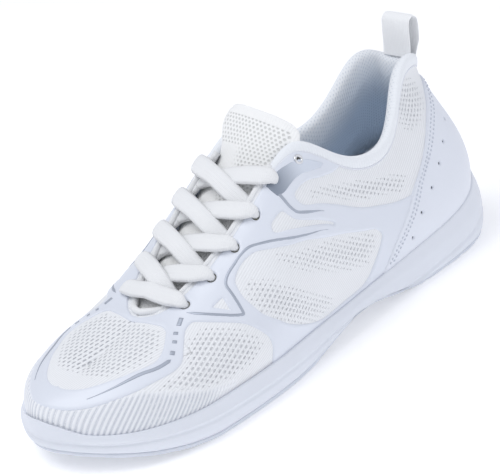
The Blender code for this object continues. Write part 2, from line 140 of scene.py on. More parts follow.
def outward(place):
    """Level direction out of the shoe at a place on the feather line."""
    run = station(place + 0.02)[..., :2] - station(place - 0.02)[..., :2]
    return unit(np.stack([-run[..., 1], run[..., 0], 0 * run[..., 0]], axis=-1))


def from_heel(place):
    """Stations between a place and the middle of the heel, the same on both sides."""
    around = np.asarray(place) % COUNT
    return np.minimum(around, COUNT - around)


def skin(place, level):
    """Point on the last's outer face."""
    place, level = as_floats(place, level)
    row = station(place)
    low, high = row[..., :3], row[..., 3:6].copy()
    closed = from_heel(place) >= THROAT_END
    high[closed] = (high[closed] + station(COUNT - place)[..., 3:6][closed]) / 2
    rise, bulge, shoulder, drop = [row[..., k:k + 1] for k in (6, 7, 8, 9)]
    height = (high - low)[..., 2:3]
    p1 = low + outward(place) * bulge + UP * rise * height
    p2 = high - (high - low) * (1, 1, 0) * shoulder - UP * drop * height
    t = level[..., None]
    s = 1 - t
    return s ** 3 * low + 3 * s * s * t * p1 + 3 * s * t * t * p2 + t ** 3 * high


def one_side_normal(place, level):
    flat = np.minimum(level, 0.97)
    along = skin(place + 0.03, flat) - skin(place - 0.03, flat)
    high = np.minimum(level + 0.02, 1)
    climb = skin(place, high) - skin(place, np.maximum(high - 0.04, 0))
    return unit(np.cross(climb, along))


def normal(place, level):
    place, level = as_floats(place, level)
    n = one_side_normal(place, level)
    middle = (level > 0.999) & (from_heel(place) >= THROAT_END)
    n[middle] += one_side_normal(COUNT - place[middle], level[middle])
    n[middle] *= (1, 0, 1)
    return unit(n)


def spot(place, level, height):
    """Point at a height over the last's outer face, down to minus its depth under it."""
    place, level, height = as_floats(place, level, height)
    return skin(place, level) + normal(place, level) * height[..., None]


# Lengths along and up the surface, for spacing and for the fabric's grain.
PER_STATION = 16
PER_LEVEL = 60
TABLE_PLACES = np.linspace(-TOE, TOE, 2 * TOE * PER_STATION + 1)
TABLE_LEVELS = np.linspace(0, 1, PER_LEVEL + 1)
TABLE = skin(TABLE_PLACES[:, None], TABLE_LEVELS)
ALONG = lengths(TABLE[:, int(0.4 * PER_LEVEL)])
ALONG = ALONG - np.interp(0, TABLE_PLACES, ALONG)
CLIMB = np.cumsum(np.linalg.norm(np.diff(TABLE, axis=1), axis=2), axis=1)
CLIMB = np.hstack([np.zeros((len(TABLE_PLACES), 1)), CLIMB])
LEVEL_AT = np.array([np.interp(TABLE_LEVELS, row / row[-1], TABLE_LEVELS) for row in CLIMB])


def look_up(table, place, share):
    """Value between the points of a table over place (-13 to 13) and a share from 0 to 1."""
    i = np.clip((np.asarray(place) + TOE) * PER_STATION, 0, len(table) - 1.001)
    j = np.clip(np.asarray(share) * PER_LEVEL, 0, PER_LEVEL - 0.001)
    i0, j0 = i.astype(int), j.astype(int)
    fi, fj = i - i0, j - j0
    low = table[i0, j0] * (1 - fj) + table[i0, j0 + 1] * fj
    high = table[i0 + 1, j0] * (1 - fj) + table[i0 + 1, j0 + 1] * fj
    return low * (1 - fi) + high * fi


def along(place):
    """Millimetres round the shoe from the middle of the heel."""
    return np.interp(place, TABLE_PLACES, ALONG)


def place_at(distance):
    return np.interp(distance, ALONG, TABLE_PLACES)


def even_places(start, end, count, endpoint=True):
    """Stations at even distances between two of them."""
    return place_at(np.linspace(along(start), along(end), count, endpoint=endpoint))


def climb(place, level):
    """Millimetres up the surface from the feather edge."""
    return look_up(CLIMB, place, level)


def level_at(place, share):
    """Level at a share of the way up the section, by length."""
    return look_up(LEVEL_AT, place, share)


def find_place(x, side, level):
    """Station place on one side whose point at that level lies at x."""
    sign = 1 if side == "outer" else -1
    places = np.linspace(2, 12, 2001)
    return sign * np.interp(x, skin(sign * places, level)[:, 0], places)


# ---- meshes ----

def to_world(points):
    return (np.asarray(points, dtype=float) - (HEEL, 0, 0)) * MM


def grid_faces(rows, columns, rows_close=False, columns_close=False):
    """Faces of a grid whose point (i, j) has number i * columns + j, facing out of the last."""
    i = np.arange(rows if rows_close else rows - 1)[:, None]
    j = np.arange(columns if columns_close else columns - 1)[None, :]
    k, l = (i + 1) % rows, (j + 1) % columns
    corners = [i * columns + j, i * columns + l, k * columns + l, k * columns + j]
    return np.stack([np.broadcast_to(c, (i.size, j.size)) for c in corners], axis=-1).reshape(-1, 4)


def tube_faces(sections, around):
    """Faces of a sweep whose point (i, j) is number i * around + j, with both ends capped."""
    n = np.arange(around // 2)
    ends = np.stack([n, n + 1, (around - 2 - n) % around, around - 1 - n], axis=1)
    ends = ends[[len(set(row)) > 2 for row in ends.tolist()]]
    walls = grid_faces(sections, around, columns_close=True)
    return np.vstack([walls, ends[:, ::-1], ends + (sections - 1) * around])


def sweep(middle, across, up, x, y):
    """Closed tube: sections of points x across and y up, round each middle point."""
    points = middle[:, None] + across[:, None] * x[..., None] + up[:, None] * y[..., None]
    return points.reshape(-1, 3), tube_faces(*points.shape[:2])


def sweep_grain(middle, u):
    """A sweep's grain: u round its section, and the length along it."""
    v = lengths(middle)[:, None] + 0 * u
    return {"grain": vectors(u + 0 * v, v)}


def slab(face, back):
    """Closed sheet between two grids of points."""
    rows, columns = face.shape[:2]
    count = rows * columns
    number = np.arange(count).reshape(rows, columns)
    edge = np.concatenate([number[0], number[1:, -1], number[-1, -2::-1], number[-2:0:-1, 0]])
    after = np.roll(edge, -1)
    walls = np.stack([edge, after, after + count, edge + count], axis=1)[:, ::-1]
    flat = grid_faces(rows, columns)
    points = np.vstack([face.reshape(-1, 3), back.reshape(-1, 3)])
    return points, np.vstack([flat, flat[:, ::-1] + count, walls])


def weld(points, faces, values):
    """Joins points that lie together, and drops the faces that this empties."""
    _, first, number = np.unique(np.round(points, 3), axis=0, return_index=True, return_inverse=True)
    kept = []
    for face in number.ravel()[faces].tolist():
        corners = list(dict.fromkeys(face))
        if len(corners) >= 3:
            kept.append(corners + [corners[-1]] * (4 - len(corners)))
    return points[first], np.array(kept), {k: v[first] for k, v in values.items()}


def point_normals(points, faces):
    p = points[faces]
    n = np.cross(p[:, 2] - p[:, 0], p[:, 3] - p[:, 1])
    total = np.zeros_like(points)
    for k in range(4):
        np.add.at(total, faces[:, k], n)
    return total / np.maximum(np.linalg.norm(total, axis=1, keepdims=True), 1e-12)


def build(name, points, faces, material, body, values=None, normals=None, sharp=None, slot=None):
    """Makes one piece with its material. Its body and slot are not used.

    A face of three corners names its last corner twice.
    """
    used = np.unique(faces)
    number = np.zeros(len(points), dtype=int)
    number[used] = np.arange(len(used))
    faces = number[faces]
    triangle = faces[:, 2] == faces[:, 3]
    polygons = faces[~triangle].tolist() + faces[triangle][:, :3].tolist()
    mesh = bpy.data.meshes.new(name)
    mesh.from_pydata(to_world(points[used]).tolist(), [], polygons)
    for key, value in (values or {}).items():
        value = np.asarray(value, dtype=np.float32)[used]
        kind, field = ("FLOAT", "value") if value.ndim == 1 else ("FLOAT_VECTOR", "vector")
        mesh.attributes.new(key, kind, "POINT").data.foreach_set(field, value.ravel())
    mesh.materials.append(MATERIALS[material])
    mesh.shade_smooth()
    if sharp:
        mesh.set_sharp_from_angle(angle=math.radians(sharp))
    if normals is not None:
        mesh.normals_split_custom_set_from_vertices(normals[used].tolist())
    piece = bpy.data.objects.new(name, mesh)
    bpy.context.scene.collection.objects.link(piece)
    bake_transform(piece)
    return piece


def build_long(name, points, faces, material, front, values=None, slot=None):
    """Makes a piece that crosses both flex lines as a rear and a front mesh with one shared surface.

    front says of each point how far it lies past the place where they meet.
    """
    normals = point_normals(points, faces)
    ahead = front[faces].mean(axis=1) > 0
    rear = build(name + "_rear", points, faces[~ahead], material, "rear", values, normals, slot=slot)
    toe = build(name + "_front", points, faces[ahead], material, "front", values, normals, slot=slot)
    return rear, toe


PIECES_MEET = 148                           # x where small shapes change from the rear to the front piece


class Gather:
    """Many small shapes gathered into one mesh."""

    def __init__(self):
        self.shapes = []

    def add(self, points, faces):
        self.shapes.append((points, faces))

    def build(self, name, material, body, **more):
        points, faces = zip(*self.shapes)
        starts = np.cumsum([0] + [len(p) for p in points])
        faces = [f + start for f, start in zip(faces, starts)]
        return build(name, np.vstack(points), np.vstack(faces), material, body, **more)

    def build_sides(self, name, material, slot):
        """Rear and front pieces, each small shape whole in one of them."""
        for part, ahead in (("rear", False), ("front", True)):
            half = Gather()
            half.shapes = [(p, f) for p, f in self.shapes if (p[:, 0].mean() > PIECES_MEET) == ahead]
            half.build(name + "_" + part, material, part, slot=slot)


# ---- materials ----

class Value:
    """A node's output that takes part in sums."""

    def __init__(self, graph, socket):
        self.graph = graph
        self.socket = socket

    def __add__(self, other):
        return self.graph.math("ADD", self, other)

    def __sub__(self, other):
        return self.graph.math("SUBTRACT", self, other)

    def __rsub__(self, other):
        return self.graph.math("SUBTRACT", other, self)

    def __mul__(self, other):
        return self.graph.math("MULTIPLY", self, other)

    def __truediv__(self, other):
        return self.graph.math("DIVIDE", self, other)


class Graph:
    """A material's nodes, written as expressions."""

    def __init__(self, name, colour, roughness, metallic=0.0, specular=0.5):
        self.material = bpy.data.materials.new(name)
        self.material.use_nodes = True
        self.tree = self.material.node_tree
        self.shader = self.tree.nodes["Principled BSDF"]
        self.colour = (*colour, 1.0)
        self.set("Base Color", self.colour)
        self.set("Roughness", roughness)
        self.set("Metallic", metallic)
        self.set("Specular IOR Level", specular)

    def set(self, socket, value):
        self.plug(self.shader, socket, value)

    def plug(self, node, index, value):
        if isinstance(value, Value):
            self.tree.links.new(value.socket, node.inputs[index])
        else:
            node.inputs[index].default_value = value

    def node(self, kind, inputs, output=0, **settings):
        """New node with its inputs filled, and one of its outputs."""
        made = self.tree.nodes.new(kind)
        for key, value in settings.items():
            setattr(made, key, value)
        for index, value in inputs.items():
            self.plug(made, index, value)
        return Value(self, made.outputs[output])

    def math(self, operation, a, b=0.0):
        return self.node("ShaderNodeMath", {0: a, 1: b}, operation=operation)

    def value(self, name):
        return self.node("ShaderNodeAttribute", {}, "Fac", attribute_name=name)

    def grain(self):
        """The fabric's own two directions, in millimetres."""
        vector = self.node("ShaderNodeAttribute", {}, "Vector", attribute_name="grain")
        x = self.node("ShaderNodeSeparateXYZ", {0: vector})
        return x, Value(self, x.socket.node.outputs[1])

    def wave(self, x, pitch):
        """From 0 to 1 and back over each pitch."""
        return (self.math("SINE", x * (2 * math.pi / pitch)) + 1.0) * 0.5

    def ramp(self, x, low, high, out_low=0.0, out_high=1.0):
        inputs = dict(enumerate((x, low, high, out_low, out_high)))
        return self.node("ShaderNodeMapRange", inputs, interpolation_type="SMOOTHSTEP")

    def mix(self, factor, a, b):
        a, b = [c if isinstance(c, Value) else (*c[:3], 1.0) for c in (a, b)]
        return self.node("ShaderNodeMix", {0: factor, 6: a, 7: b}, 2, data_type="RGBA")

    def object_space(self):
        return self.node("ShaderNodeTexCoord", {}, "Object")

    def noise(self, size, detail):
        """Noise with lumps of a size in millimetres, in the object's own space."""
        inputs = {"Vector": self.object_space(), "Scale": 1 / (size * MM), "Detail": detail}
        return self.node("ShaderNodeTexNoise", inputs, "Fac")

    def bump(self, height, depth, strength):
        inputs = {"Strength": strength, "Distance": depth * MM, "Height": height}
        self.set("Normal", self.node("ShaderNodeBump", inputs))

    def mottle(self, size=14.0, share=0.05):
        """Base colour with faint clouding, so that no surface is one flat colour."""
        dark = tuple(c * (1 - share) for c in self.colour[:3])
        return self.mix(self.noise(size, 4.0), dark, self.colour)


HOLE_PITCH = 2.7                            # along a row of holes
ROW_PITCH = 2.1                             # between rows
HOLE_LONG = 0.80                            # half lengths of a hole
HOLE_WIDE = 0.36
WALE = 1.15                                 # pitch of the knit's fine ridges
# Painted shade: dark olive colour of the shade down inside an eyelet hole.
EYELET_SHADE = (0.16, 0.15, 0.09)


def hole_reach(graph, u, v, pitch, row_pitch, long, wide):
    """Distance from the nearest opening of staggered rows, 1 at its edge."""
    row = graph.math("ROUND", v / row_pitch)
    cell = u / pitch + row * 0.5
    across = (cell - graph.math("ROUND", cell)) * pitch / long
    down = (v - row * row_pitch) / wide
    return graph.math("SQRT", graph.math("POWER", across, 2.0) + graph.math("POWER", down, 2.0))


def knit_material():
    graph = Graph("knit", (0.885, 0.90, 0.925), 0.85, specular=0.25)
    u, v = graph.grain()
    size = graph.value("hole")
    reach = hole_reach(graph, u, v, HOLE_PITCH, ROW_PITCH, HOLE_LONG, HOLE_WIDE)
    hole = graph.ramp(reach - size, -0.35, 0.35, 1.0, 0.0) * graph.ramp(size, 0.05, 0.35)
    wale = graph.wave(v, WALE)
    cloth = wale + graph.wave(u + v * 0.6, 0.9) * 0.35
    # Painted shade: darker in the dips between the wales.
    colour = graph.mix((1.0 - wale) * 0.33, graph.mottle(), (0.58, 0.59, 0.60))
    # Painted shade: greyer in the knit's holes, as shade down in each opening.
    colour = graph.mix(hole * 0.65, colour, (0.60, 0.62, 0.66))
    # Painted shade where the knit sinks into each eyelet hole.
    graph.set("Base Color", graph.mix(graph.value("shaded_well"), colour, EYELET_SHADE))
    graph.set("Sheen Weight", 0.25)
    graph.set("Sheen Roughness", 0.5)
    graph.bump(cloth * 0.16 - hole, 0.5, 0.8)
    return graph.material


def rib_material():
    graph = Graph("ribbed_knit", (0.88, 0.895, 0.925), 0.8, specular=0.25)
    # Painted shade in the grooves between the ribs; rib is 1 on the crests.
    groove = (1.0 - graph.value("rib")) * 0.85
    graph.set("Base Color", graph.mix(groove, graph.mottle(), (0.46, 0.50, 0.58)))
    graph.set("Sheen Weight", 0.2)
    graph.bump(graph.wave(graph.grain()[1], 0.8), 0.1, 0.5)
    return graph.material


def counter_material():
    graph = Graph("counter_leather", (0.765, 0.795, 0.865), 0.42, specular=0.4)
    graph.set("Base Color", graph.mottle(25.0, 0.03))
    inputs = {"Vector": graph.object_space(), "Scale": 1 / (0.8 * MM)}
    pebble = graph.node("ShaderNodeTexVoronoi", inputs, "Distance", feature="SMOOTH_F1")
    graph.bump(pebble, 0.08, 0.35)
    return graph.material


def foam_material():
    graph = Graph("sole_foam", (0.755, 0.785, 0.85), 0.5, specular=0.35)
    graph.set("Base Color", graph.mottle(18.0, 0.05))
    graph.bump(graph.noise(0.5, 2.0) + graph.noise(3.0, 2.0) * 0.5, 0.06, 0.35)
    return graph.material


def lining_material():
    """Fine lining knit, whiter at the collar's rim, with painted bluer shade down in the shoe."""
    graph = Graph("lining", (0.86, 0.885, 0.92), 0.9, specular=0.2)
    u, v = graph.grain()
    wale = graph.wave(u, 1.5)
    dot = graph.ramp(wale, 0.5, 0.9) * graph.ramp(graph.wave(v + u * 0.6, 1.8), 0.45, 0.9)
    dot = dot * graph.ramp(v, 7.0, 9.5)
    rim = graph.mix(dot * 0.62, graph.mottle(), (0.55, 0.61, 0.69))
    # Painted shade: the bluer, darker lining colour down inside the shoe.
    low = graph.mix(dot * 0.6, (0.76, 0.87, 1.0), (0.46, 0.56, 0.70))
    graph.set("Base Color", graph.mix(graph.value("inside_shade"), rim, low))
    graph.set("Sheen Weight", 0.3)
    graph.bump(wale * 0.5 - dot, 0.25, 0.7)
    return graph.material


def tongue_material():
    """Spacer mesh: small round openings in staggered rows with painted shade in them, and plain wales where
    hole is 0.
    """
    graph = Graph("tongue_mesh", (0.93, 0.935, 0.93), 0.88, specular=0.2)
    u, v = graph.grain()
    opened = graph.value("hole")
    hole = graph.ramp(hole_reach(graph, u, v, 2.1, 1.75, 1.0, 1.0), 0.30, 0.75, 1.0, 0.0) * opened
    # Painted shade in the mesh's openings.
    graph.set("Base Color", graph.mix(hole * 0.6, graph.mottle(), (0.56, 0.57, 0.55)))
    graph.set("Sheen Weight", 0.3)
    graph.bump((1.0 - opened) * graph.wave(u, 1.0) * 0.3 - hole, 0.5, 0.8)
    return graph.material


def lace_material():
    graph = Graph("lace_knit", (0.85, 0.86, 0.87), 0.9, specular=0.15)
    u, v = graph.grain()
    rows = graph.wave(v, 0.75)
    zigzag = graph.wave(u + rows * 0.35, 0.9)
    graph.set("Base Color", graph.mix(rows * 0.12, graph.mottle(9.0, 0.03), (0.70, 0.71, 0.72)))
    graph.set("Sheen Weight", 0.35)
    graph.bump(rows + zigzag * 0.6, 0.12, 0.6)
    return graph.material


def webbing_material():
    graph = Graph("webbing", (0.93, 0.94, 0.95), 0.75, specular=0.25)
    u, v = graph.grain()
    warp = graph.wave(u, 0.9)
    graph.set("Base Color", graph.mix(warp * 0.15, graph.mottle(), (0.70, 0.72, 0.76)))
    graph.bump(warp * graph.wave(v, 0.7) + warp, 0.12, 0.6)
    return graph.material


def accent_material():
    """Reflective print that fades from blue-grey at the lacing to the film's white behind."""
    graph = Graph("accent_print", (0.27, 0.31, 0.38), 0.4, metallic=0.2)
    fade = graph.ramp(graph.grain()[0], 0.02, 0.65)
    graph.set("Base Color", graph.mix(fade * 0.92, graph.mottle(5.0, 0.12), (0.70, 0.75, 0.84)))
    graph.bump(graph.noise(0.5, 2.0), 0.03, 0.3)
    return graph.material


def plain_material(name, colour, roughness, metallic=0.0, specular=0.5, clouds=(6.0, 0.08), lumps=(0.6, 2.0),
                   depth=0.05, strength=0.3, coat=0.0):
    """One clouded colour with a fine uneven surface."""
    graph = Graph(name, colour, roughness, metallic, specular)
    graph.set("Base Color", graph.mottle(*clouds))
    if coat:
        graph.set("Coat Weight", coat)
        graph.set("Coat Roughness", 0.3)
    graph.bump(graph.noise(*lumps), depth, strength)
    return graph.material


MATERIALS = {
    "knit": knit_material(), "ribs": rib_material(), "counter": counter_material(), "foam": foam_material(),
    "lining": lining_material(), "tongue": tongue_material(), "lace": lace_material(),
    "webbing": webbing_material(), "accent": accent_material(),
    "film": plain_material("film", (0.735, 0.77, 0.845), 0.34, specular=0.45, clouds=(30.0, 0.03),
                           lumps=(0.7, 2.0), strength=0.25, coat=0.15),
    "rubber": plain_material("outsole_rubber", (0.70, 0.735, 0.81), 0.62, specular=0.4, clouds=(22.0, 0.08),
                             lumps=(0.6, 3.0), depth=0.08, strength=0.5),
    "silver": plain_material("silver_print", (0.46, 0.50, 0.58), 0.38, metallic=0.4, clouds=(4.0, 0.18),
                             lumps=(0.4, 2.0), depth=0.03),
    "metal": plain_material("eyelet_metal", (0.74, 0.75, 0.77), 0.32, 0.7),
    "thread": plain_material("thread", (0.62, 0.655, 0.73), 0.7),
    "piping": plain_material("piping", (0.78, 0.80, 0.86), 0.6),
    "board": plain_material("board", (0.72, 0.72, 0.68), 0.9),
    "shaded_well": plain_material("hole_shadow", (0.10, 0.11, 0.13), 0.9),
    "plastic": plain_material("stiffener_plastic", (0.75, 0.77, 0.8), 0.5),
}


# ---- outlines on the outer side, as (station, level) corners with a corner radius in mm ----

CHART = np.array([22.0, 65.0])              # about how many millimetres a station and a full level are
CORNER = 5.0

FILM_OUTLINE = [
    (3.75, 0, 0), (6.95, 0, 0), (6.86, .17), (7.17, .41), (7.86, .715, 2), (8.1, .69, 2), (8.45, .58),
    (8.82, .45), (9.2, .415), (9.92, .41), (10.74, .38), (11.45, .34), (12.13, .31), (12.6, .315),
    (13, .33, 0), (13, .64, 0), (12.6, .61), (12.0, .57), (11.2, .58), (10.3, .58), (9.52, .555),
    (9.08, .63), (8.6, .75, 2), (8.57, .81, 3), (9.1, .91), (9.47, 1, 0), (9.12, 1, 0), (9.0, .965, 2),
    (8.6, .95, 2), (7, .945), (5.95, .945), (5.6, .94, 2), (5.3, .93, 2), (5.06, .925), (4.75, .905),
    (4.1, .905, 1), (4.35, .79), (4.75, .70), (5.12, .695), (5.45, .69, 3), (5.36, .60, 4), (5.22, .565),
    (4.84, .535), (4.15, .55), (3.64, .55), (3.3, .50), (2.9, .44, 2), (3.2, .22)]
MID_WINDOW = [(6.45, .72), (6.17, .60), (5.84, .49), (5.28, .385), (4.95, .355), (3.87, .37, 3),
              (3.77, .31, 3), (3.95, .18), (4.3, .03), (5.6, .02), (6.0, .06), (6.43, .15), (6.87, .36),
              (7.0, .57), (6.93, .71), (6.68, .75, 3)]
STAR_WINDOW = [(7.44, .69, 1), (7.22, .69, 1), (7.26, .57, 1)]
SLIVER_WINDOW = [(5.74, .70, 2), (5.99, .72, 1.5), (6.04, .67, 2), (5.97, .63), (5.57, .51), (5.22, .45),
                 (4.80, .415, .6), (4.78, .43, .6), (5.05, .455), (5.39, .51), (5.62, .58)]
COUNTER_OUTLINE = [(0, 0, 0), (3.95, 0, 0), (3.5, .24), (2.95, .49), (2.2, .575), (1.6, .655), (1.2, .76),
                   (.8, .83), (0, .86, 0)]
COUNTER_HOLES = [(1.45, .49), (1.95, .44), (2.30, .40), (2.65, .35), (2.99, .27), (3.26, .13)]
SILVER_LINE = [(7.80, .80, 0), (7.55, .66), (7.27, .52, 2), (7.13, .47, 1.2), (7.06, .74, 2), (6.93, .78, 3),
               (6.50, .795, 4), (6.28, .70), (5.97, .58), (5.76, .51), (5.44, .44), (5.0, .40, 0)]
SILVER_UPPER = [(5.65, .80, 0), (5.60, .66), (5.52, .59), (5.26, .53), (4.95, .50, 0)]
TOE_LINE = [(9.12, .51, 0), (9.6, .50), (10.09, .53), (10.6, .515), (11.24, .475), (11.75, .43, 0)]
DASHES = [((9.0, .54), (8.90, .565)), ((8.68, .62), (8.60, .64)), ((8.44, .685), (8.36, .705)),
          ((8.16, .745), (7.96, .79))]
ACCENT = [(5.60, .92, 1), (5.45, .90), (5.30, .87), (5.1, .855), (4.83, .835), (4.5, .845, 1),
          (4.62, .79, 1), (4.9, .745), (5.25, .755), (5.55, .75, 2), (5.68, .78, 1), (5.72, .86),
          (5.74, .92, 1)]
# Where the knit opens into holes.
MESH_AREAS = [
    [(7.75, .62), (7.3, .42), (7.0, .2), (7.4, .11), (8.3, .15), (9.2, .22), (9.9, .28), (9.7, .37),
     (9.1, .39), (8.7, .45), (8.2, .62)],
    [(6.33, .62), (5.84, .45), (5.39, .37), (4.77, .335), (3.95, .355), (3.9, .28), (4.2, .13), (5.05, .18),
     (5.68, .28), (6.02, .40)],
    [(6.8, .64), (6.0, .27), (5.76, .19), (5.26, .10), (5.3, .04), (5.9, .04), (6.42, .14), (6.9, .38),
     (6.92, .57)],
    [(5.1, .64), (4.7, .65), (3.88, .80), (3.28, .76), (2.89, .63), (3.08, .52), (3.53, .63), (4.48, .58),
     (5.18, .585)],
    [(8.72, .79), (9.15, .66), (9.65, .60), (11.0, .62), (11.9, .70), (12.5, .84), (13.6, .9), (13.6, 1.2),
     (9.6, 1.2), (9.25, .92)],
    [(2.62, .95), (2.14, .97), (1.75, .91), (1.5, .83), (1.42, .74), (1.7, .65), (2.15, .64), (2.45, .74)]]
# The counter's two seams.
SEAMS = [[(3.78, .05), (3.36, .24), (2.82, .48), (2.12, .555), (1.54, .63), (1.16, .73), (.74, .80)],
         [(3.70, .05), (3.28, .235), (2.75, .465), (2.06, .53), (1.50, .605), (1.10, .71), (.70, .775)]]


def inside(points, corners):
    """Whether chart points lie in an outline given by its chart corners."""
    a, b = corners, np.roll(corners, -1, axis=0)
    x, y = points[:, 0, None], points[:, 1, None]
    crosses = (a[:, 1] > y) != (b[:, 1] > y)
    with np.errstate(divide="ignore", invalid="ignore"):
        at = a[:, 0] + (y - a[:, 1]) * (b[:, 0] - a[:, 0]) / (b[:, 1] - a[:, 1])
    return (crosses & (x < at)).sum(axis=1) % 2 == 1


def in_region(points, outlines):
    """Whether chart points lie inside the first outline and outside the others."""
    good = inside(points, outlines[0])
    for hole in outlines[1:]:
        good &= ~inside(points, hole)
    return good


def edge_distance(points, corners):
    """Distance of chart points from an outline, above 0 inside it."""
    best = np.full(len(points), 1e9)
    for a, b in zip(corners, np.roll(corners, -1, axis=0)):
        run = b - a
        share = np.clip((points - a) @ run / (run @ run), 0, 1)
        best = np.minimum(best, np.linalg.norm(points - a - share[:, None] * run, axis=1))
    return np.where(inside(points, corners), best, -best)


def rounded(corners, step=1.0, closed=True):
    """Chart points along an outline, its corners rounded and its edges divided."""
    points = np.array([c[:2] for c in corners]) * CHART
    radii = [c[2] if len(c) > 2 else CORNER for c in corners]
    if not closed:
        radii[0] = radii[-1] = 0
    path = []
    for i, (p, radius) in enumerate(zip(points, radii)):
        if radius == 0:
            path.append(p)
            continue
        before, after = points[i - 1], points[(i + 1) % len(points)]
        reach = min(radius, 0.48 * np.linalg.norm(before - p), 0.48 * np.linalg.norm(after - p))
        start, end = p + unit(before - p) * reach, p + unit(after - p) * reach
        path += [start * (1 - f) ** 2 + 2 * p * f * (1 - f) + end * f * f for f in np.linspace(0, 1, 6)]
    out = []
    for a, b in zip(path, path[1:] + path[:1] if closed else path[1:]):
        parts = max(1, int(np.ceil(np.linalg.norm(b - a) / step)))
        out += [a + (b - a) * k / parts for k in range(parts)]
    if not closed:
        out.append(path[-1])
    kept = out[:1]
    for point in out[1:]:
        if np.linalg.norm(point - kept[-1]) > 0.15:
            kept.append(point)
    return np.array(kept)


def circle(place, level, radius, steps=18):
    """Chart points of a true circle on the surface."""
    e = 0.05
    per_place = np.linalg.norm(skin(place + e, level) - skin(place - e, level)) / (2 * e)
    per_level = np.linalg.norm(skin(place, level + e) - skin(place, level - e)) / (2 * e)
    turn = turns(steps)
    offset = np.stack([np.cos(turn) / per_place, np.sin(turn) / per_level], axis=1) * radius
    return (np.array([place, level]) + offset) * CHART


def on_seam(chart):
    """Points where the two sides of a patch meet: the toe's tip, the heel or the vamp's middle."""
    place, level = (chart / CHART).T
    return (place > TOE - 1e-6) | (place < 1e-6) | ((level > 1 - 1e-6) & (place > THROAT_END - 1e-6))


def spread(rows, gaps):
    """Points of several rows in turn, without those too near one already chosen."""
    cell = max(gaps)
    taken = {}
    chosen = []
    for row, gap in zip(rows, gaps):
        for x, y in row.tolist():
            i, j = math.floor(x / cell), math.floor(y / cell)
            near = [p for di in (-1, 0, 1) for dj in (-1, 0, 1) for p in taken.get((i + di, j + dj), ())]
            if gap and any((x - p[0]) ** 2 + (y - p[1]) ** 2 < gap * gap for p in near):
                continue
            taken.setdefault((i, j), []).append((x, y))
            chosen.append((x, y))
    return np.array(chosen)


PATCH_SPACING = 1.5                         # of a patch's points, away from its edges


def triangulate(outlines):
    """Chart points and triangles of a region: inside the first outline, outside the others."""
    rim = np.vstack(outlines)
    edges, rows, gaps = [], [rim], [0]
    for line in outlines:
        start, count = len(edges), len(line)
        edges += [(start + k, start + (k + 1) % count) for k in range(count)]
    for reach in (0.5, 1.1):
        for line in outlines:
            run = unit(np.roll(line, -1, axis=0) - np.roll(line, 1, axis=0))
            side = np.stack([-run[:, 1], run[:, 0]], axis=1)
            rows.append(np.vstack([line + side * reach, line - side * reach]))
            gaps.append(0.42)
    spans = zip(outlines[0].min(axis=0), outlines[0].max(axis=0))
    ticks = [np.arange(*span, PATCH_SPACING) for span in spans]
    grid = np.stack(np.meshgrid(*ticks, indexing="ij"), axis=-1)
    grid[1::2, :, 1] += PATCH_SPACING / 2
    rows.append(grid.reshape(-1, 2))
    gaps.append(PATCH_SPACING * 0.6)
    points = spread([rim] + [row[in_region(row, outlines)] for row in rows[1:]], gaps)
    found = delaunay_2d_cdt([Vector(p) for p in points], edges, [], 0, 1e-7)
    chart = np.array([tuple(v) for v in found[0]])
    triangles = np.array(found[2])
    return chart, triangles[in_region(chart[triangles].mean(axis=1), outlines)]


def rim_distance(rim, points):
    """Distance of points from the nearest of the rim's chart points."""
    rim_spots = skin(*(rim[~on_seam(rim)] / CHART).T)
    tree = KDTree(len(rim_spots))
    for k, p in enumerate(rim_spots):
        tree.insert(p, k)
    tree.balance()
    return np.array([tree.find(p)[2] for p in points])


def patch(outlines, base, thick, edge=1.0, swell=None):
    """Closed sheet on both sides of the shoe, its top thick over its base, rounded down at its edges.

    swell gives more height at a distance from the edge. Returns points, faces and the points' stations.
    """
    chart, triangles = triangulate(outlines)
    a, b, c = [chart[triangles[:, k]] for k in range(3)]
    wrong = np.cross(b - a, c - a) >= 0
    triangles[wrong] = triangles[wrong][:, ::-1]
    place, level = (chart / CHART).T
    level = np.clip(level, 0, 1)
    distance = rim_distance(np.vstack(outlines), skin(place, level))
    near = np.clip(distance / edge, 0, 1)
    height = base + thick * (0.25 + 0.75 * np.sqrt(1 - (1 - near) ** 2))
    if swell:
        height = height + swell(distance)
    edges = dict.fromkeys((a, b) for face in triangles.tolist() for a, b in zip(face, face[1:] + face[:1]))
    seam = on_seam(chart)
    walls = np.array([(a, b) for a, b in edges if (b, a) not in edges and not (seam[a] and seam[b])])
    count = len(chart)
    points, faces = [], []
    for own, sign in ((0, 1), (2 * count, -1)):
        points += [spot(sign * place, level, height), spot(sign * place, level, base - 0.15)]
        shown = triangles[:, [0, 1, 2, 2]] if sign > 0 else triangles[:, [2, 1, 0, 0]]
        a, b = walls.T[::sign]
        sides = np.stack([b, a, count + a, count + b], axis=1)
        faces += [shown + own, shown[:, [2, 1, 0, 0]] + own + count, sides + own]
    points, faces, values = weld(np.vstack(points), np.vstack(faces), {"station": np.tile(place, 4)})
    return points, faces, values["station"]


# A printed line's section: share of its width and of its thickness.
STRIP = [(-0.5, 0.0), (-0.4, 0.75), (-0.15, 1.0), (0.15, 1.0), (0.4, 0.75), (0.5, 0.0), (0.3, -0.5),
         (-0.3, -0.5)]
PRINT_BASE = -KNIT_DEPTH + FILM_THICK       # where the prints lie on the film
PRINT_THICK = 0.16
THINNEST = 0.15                             # share of a line's width left at a tapered end


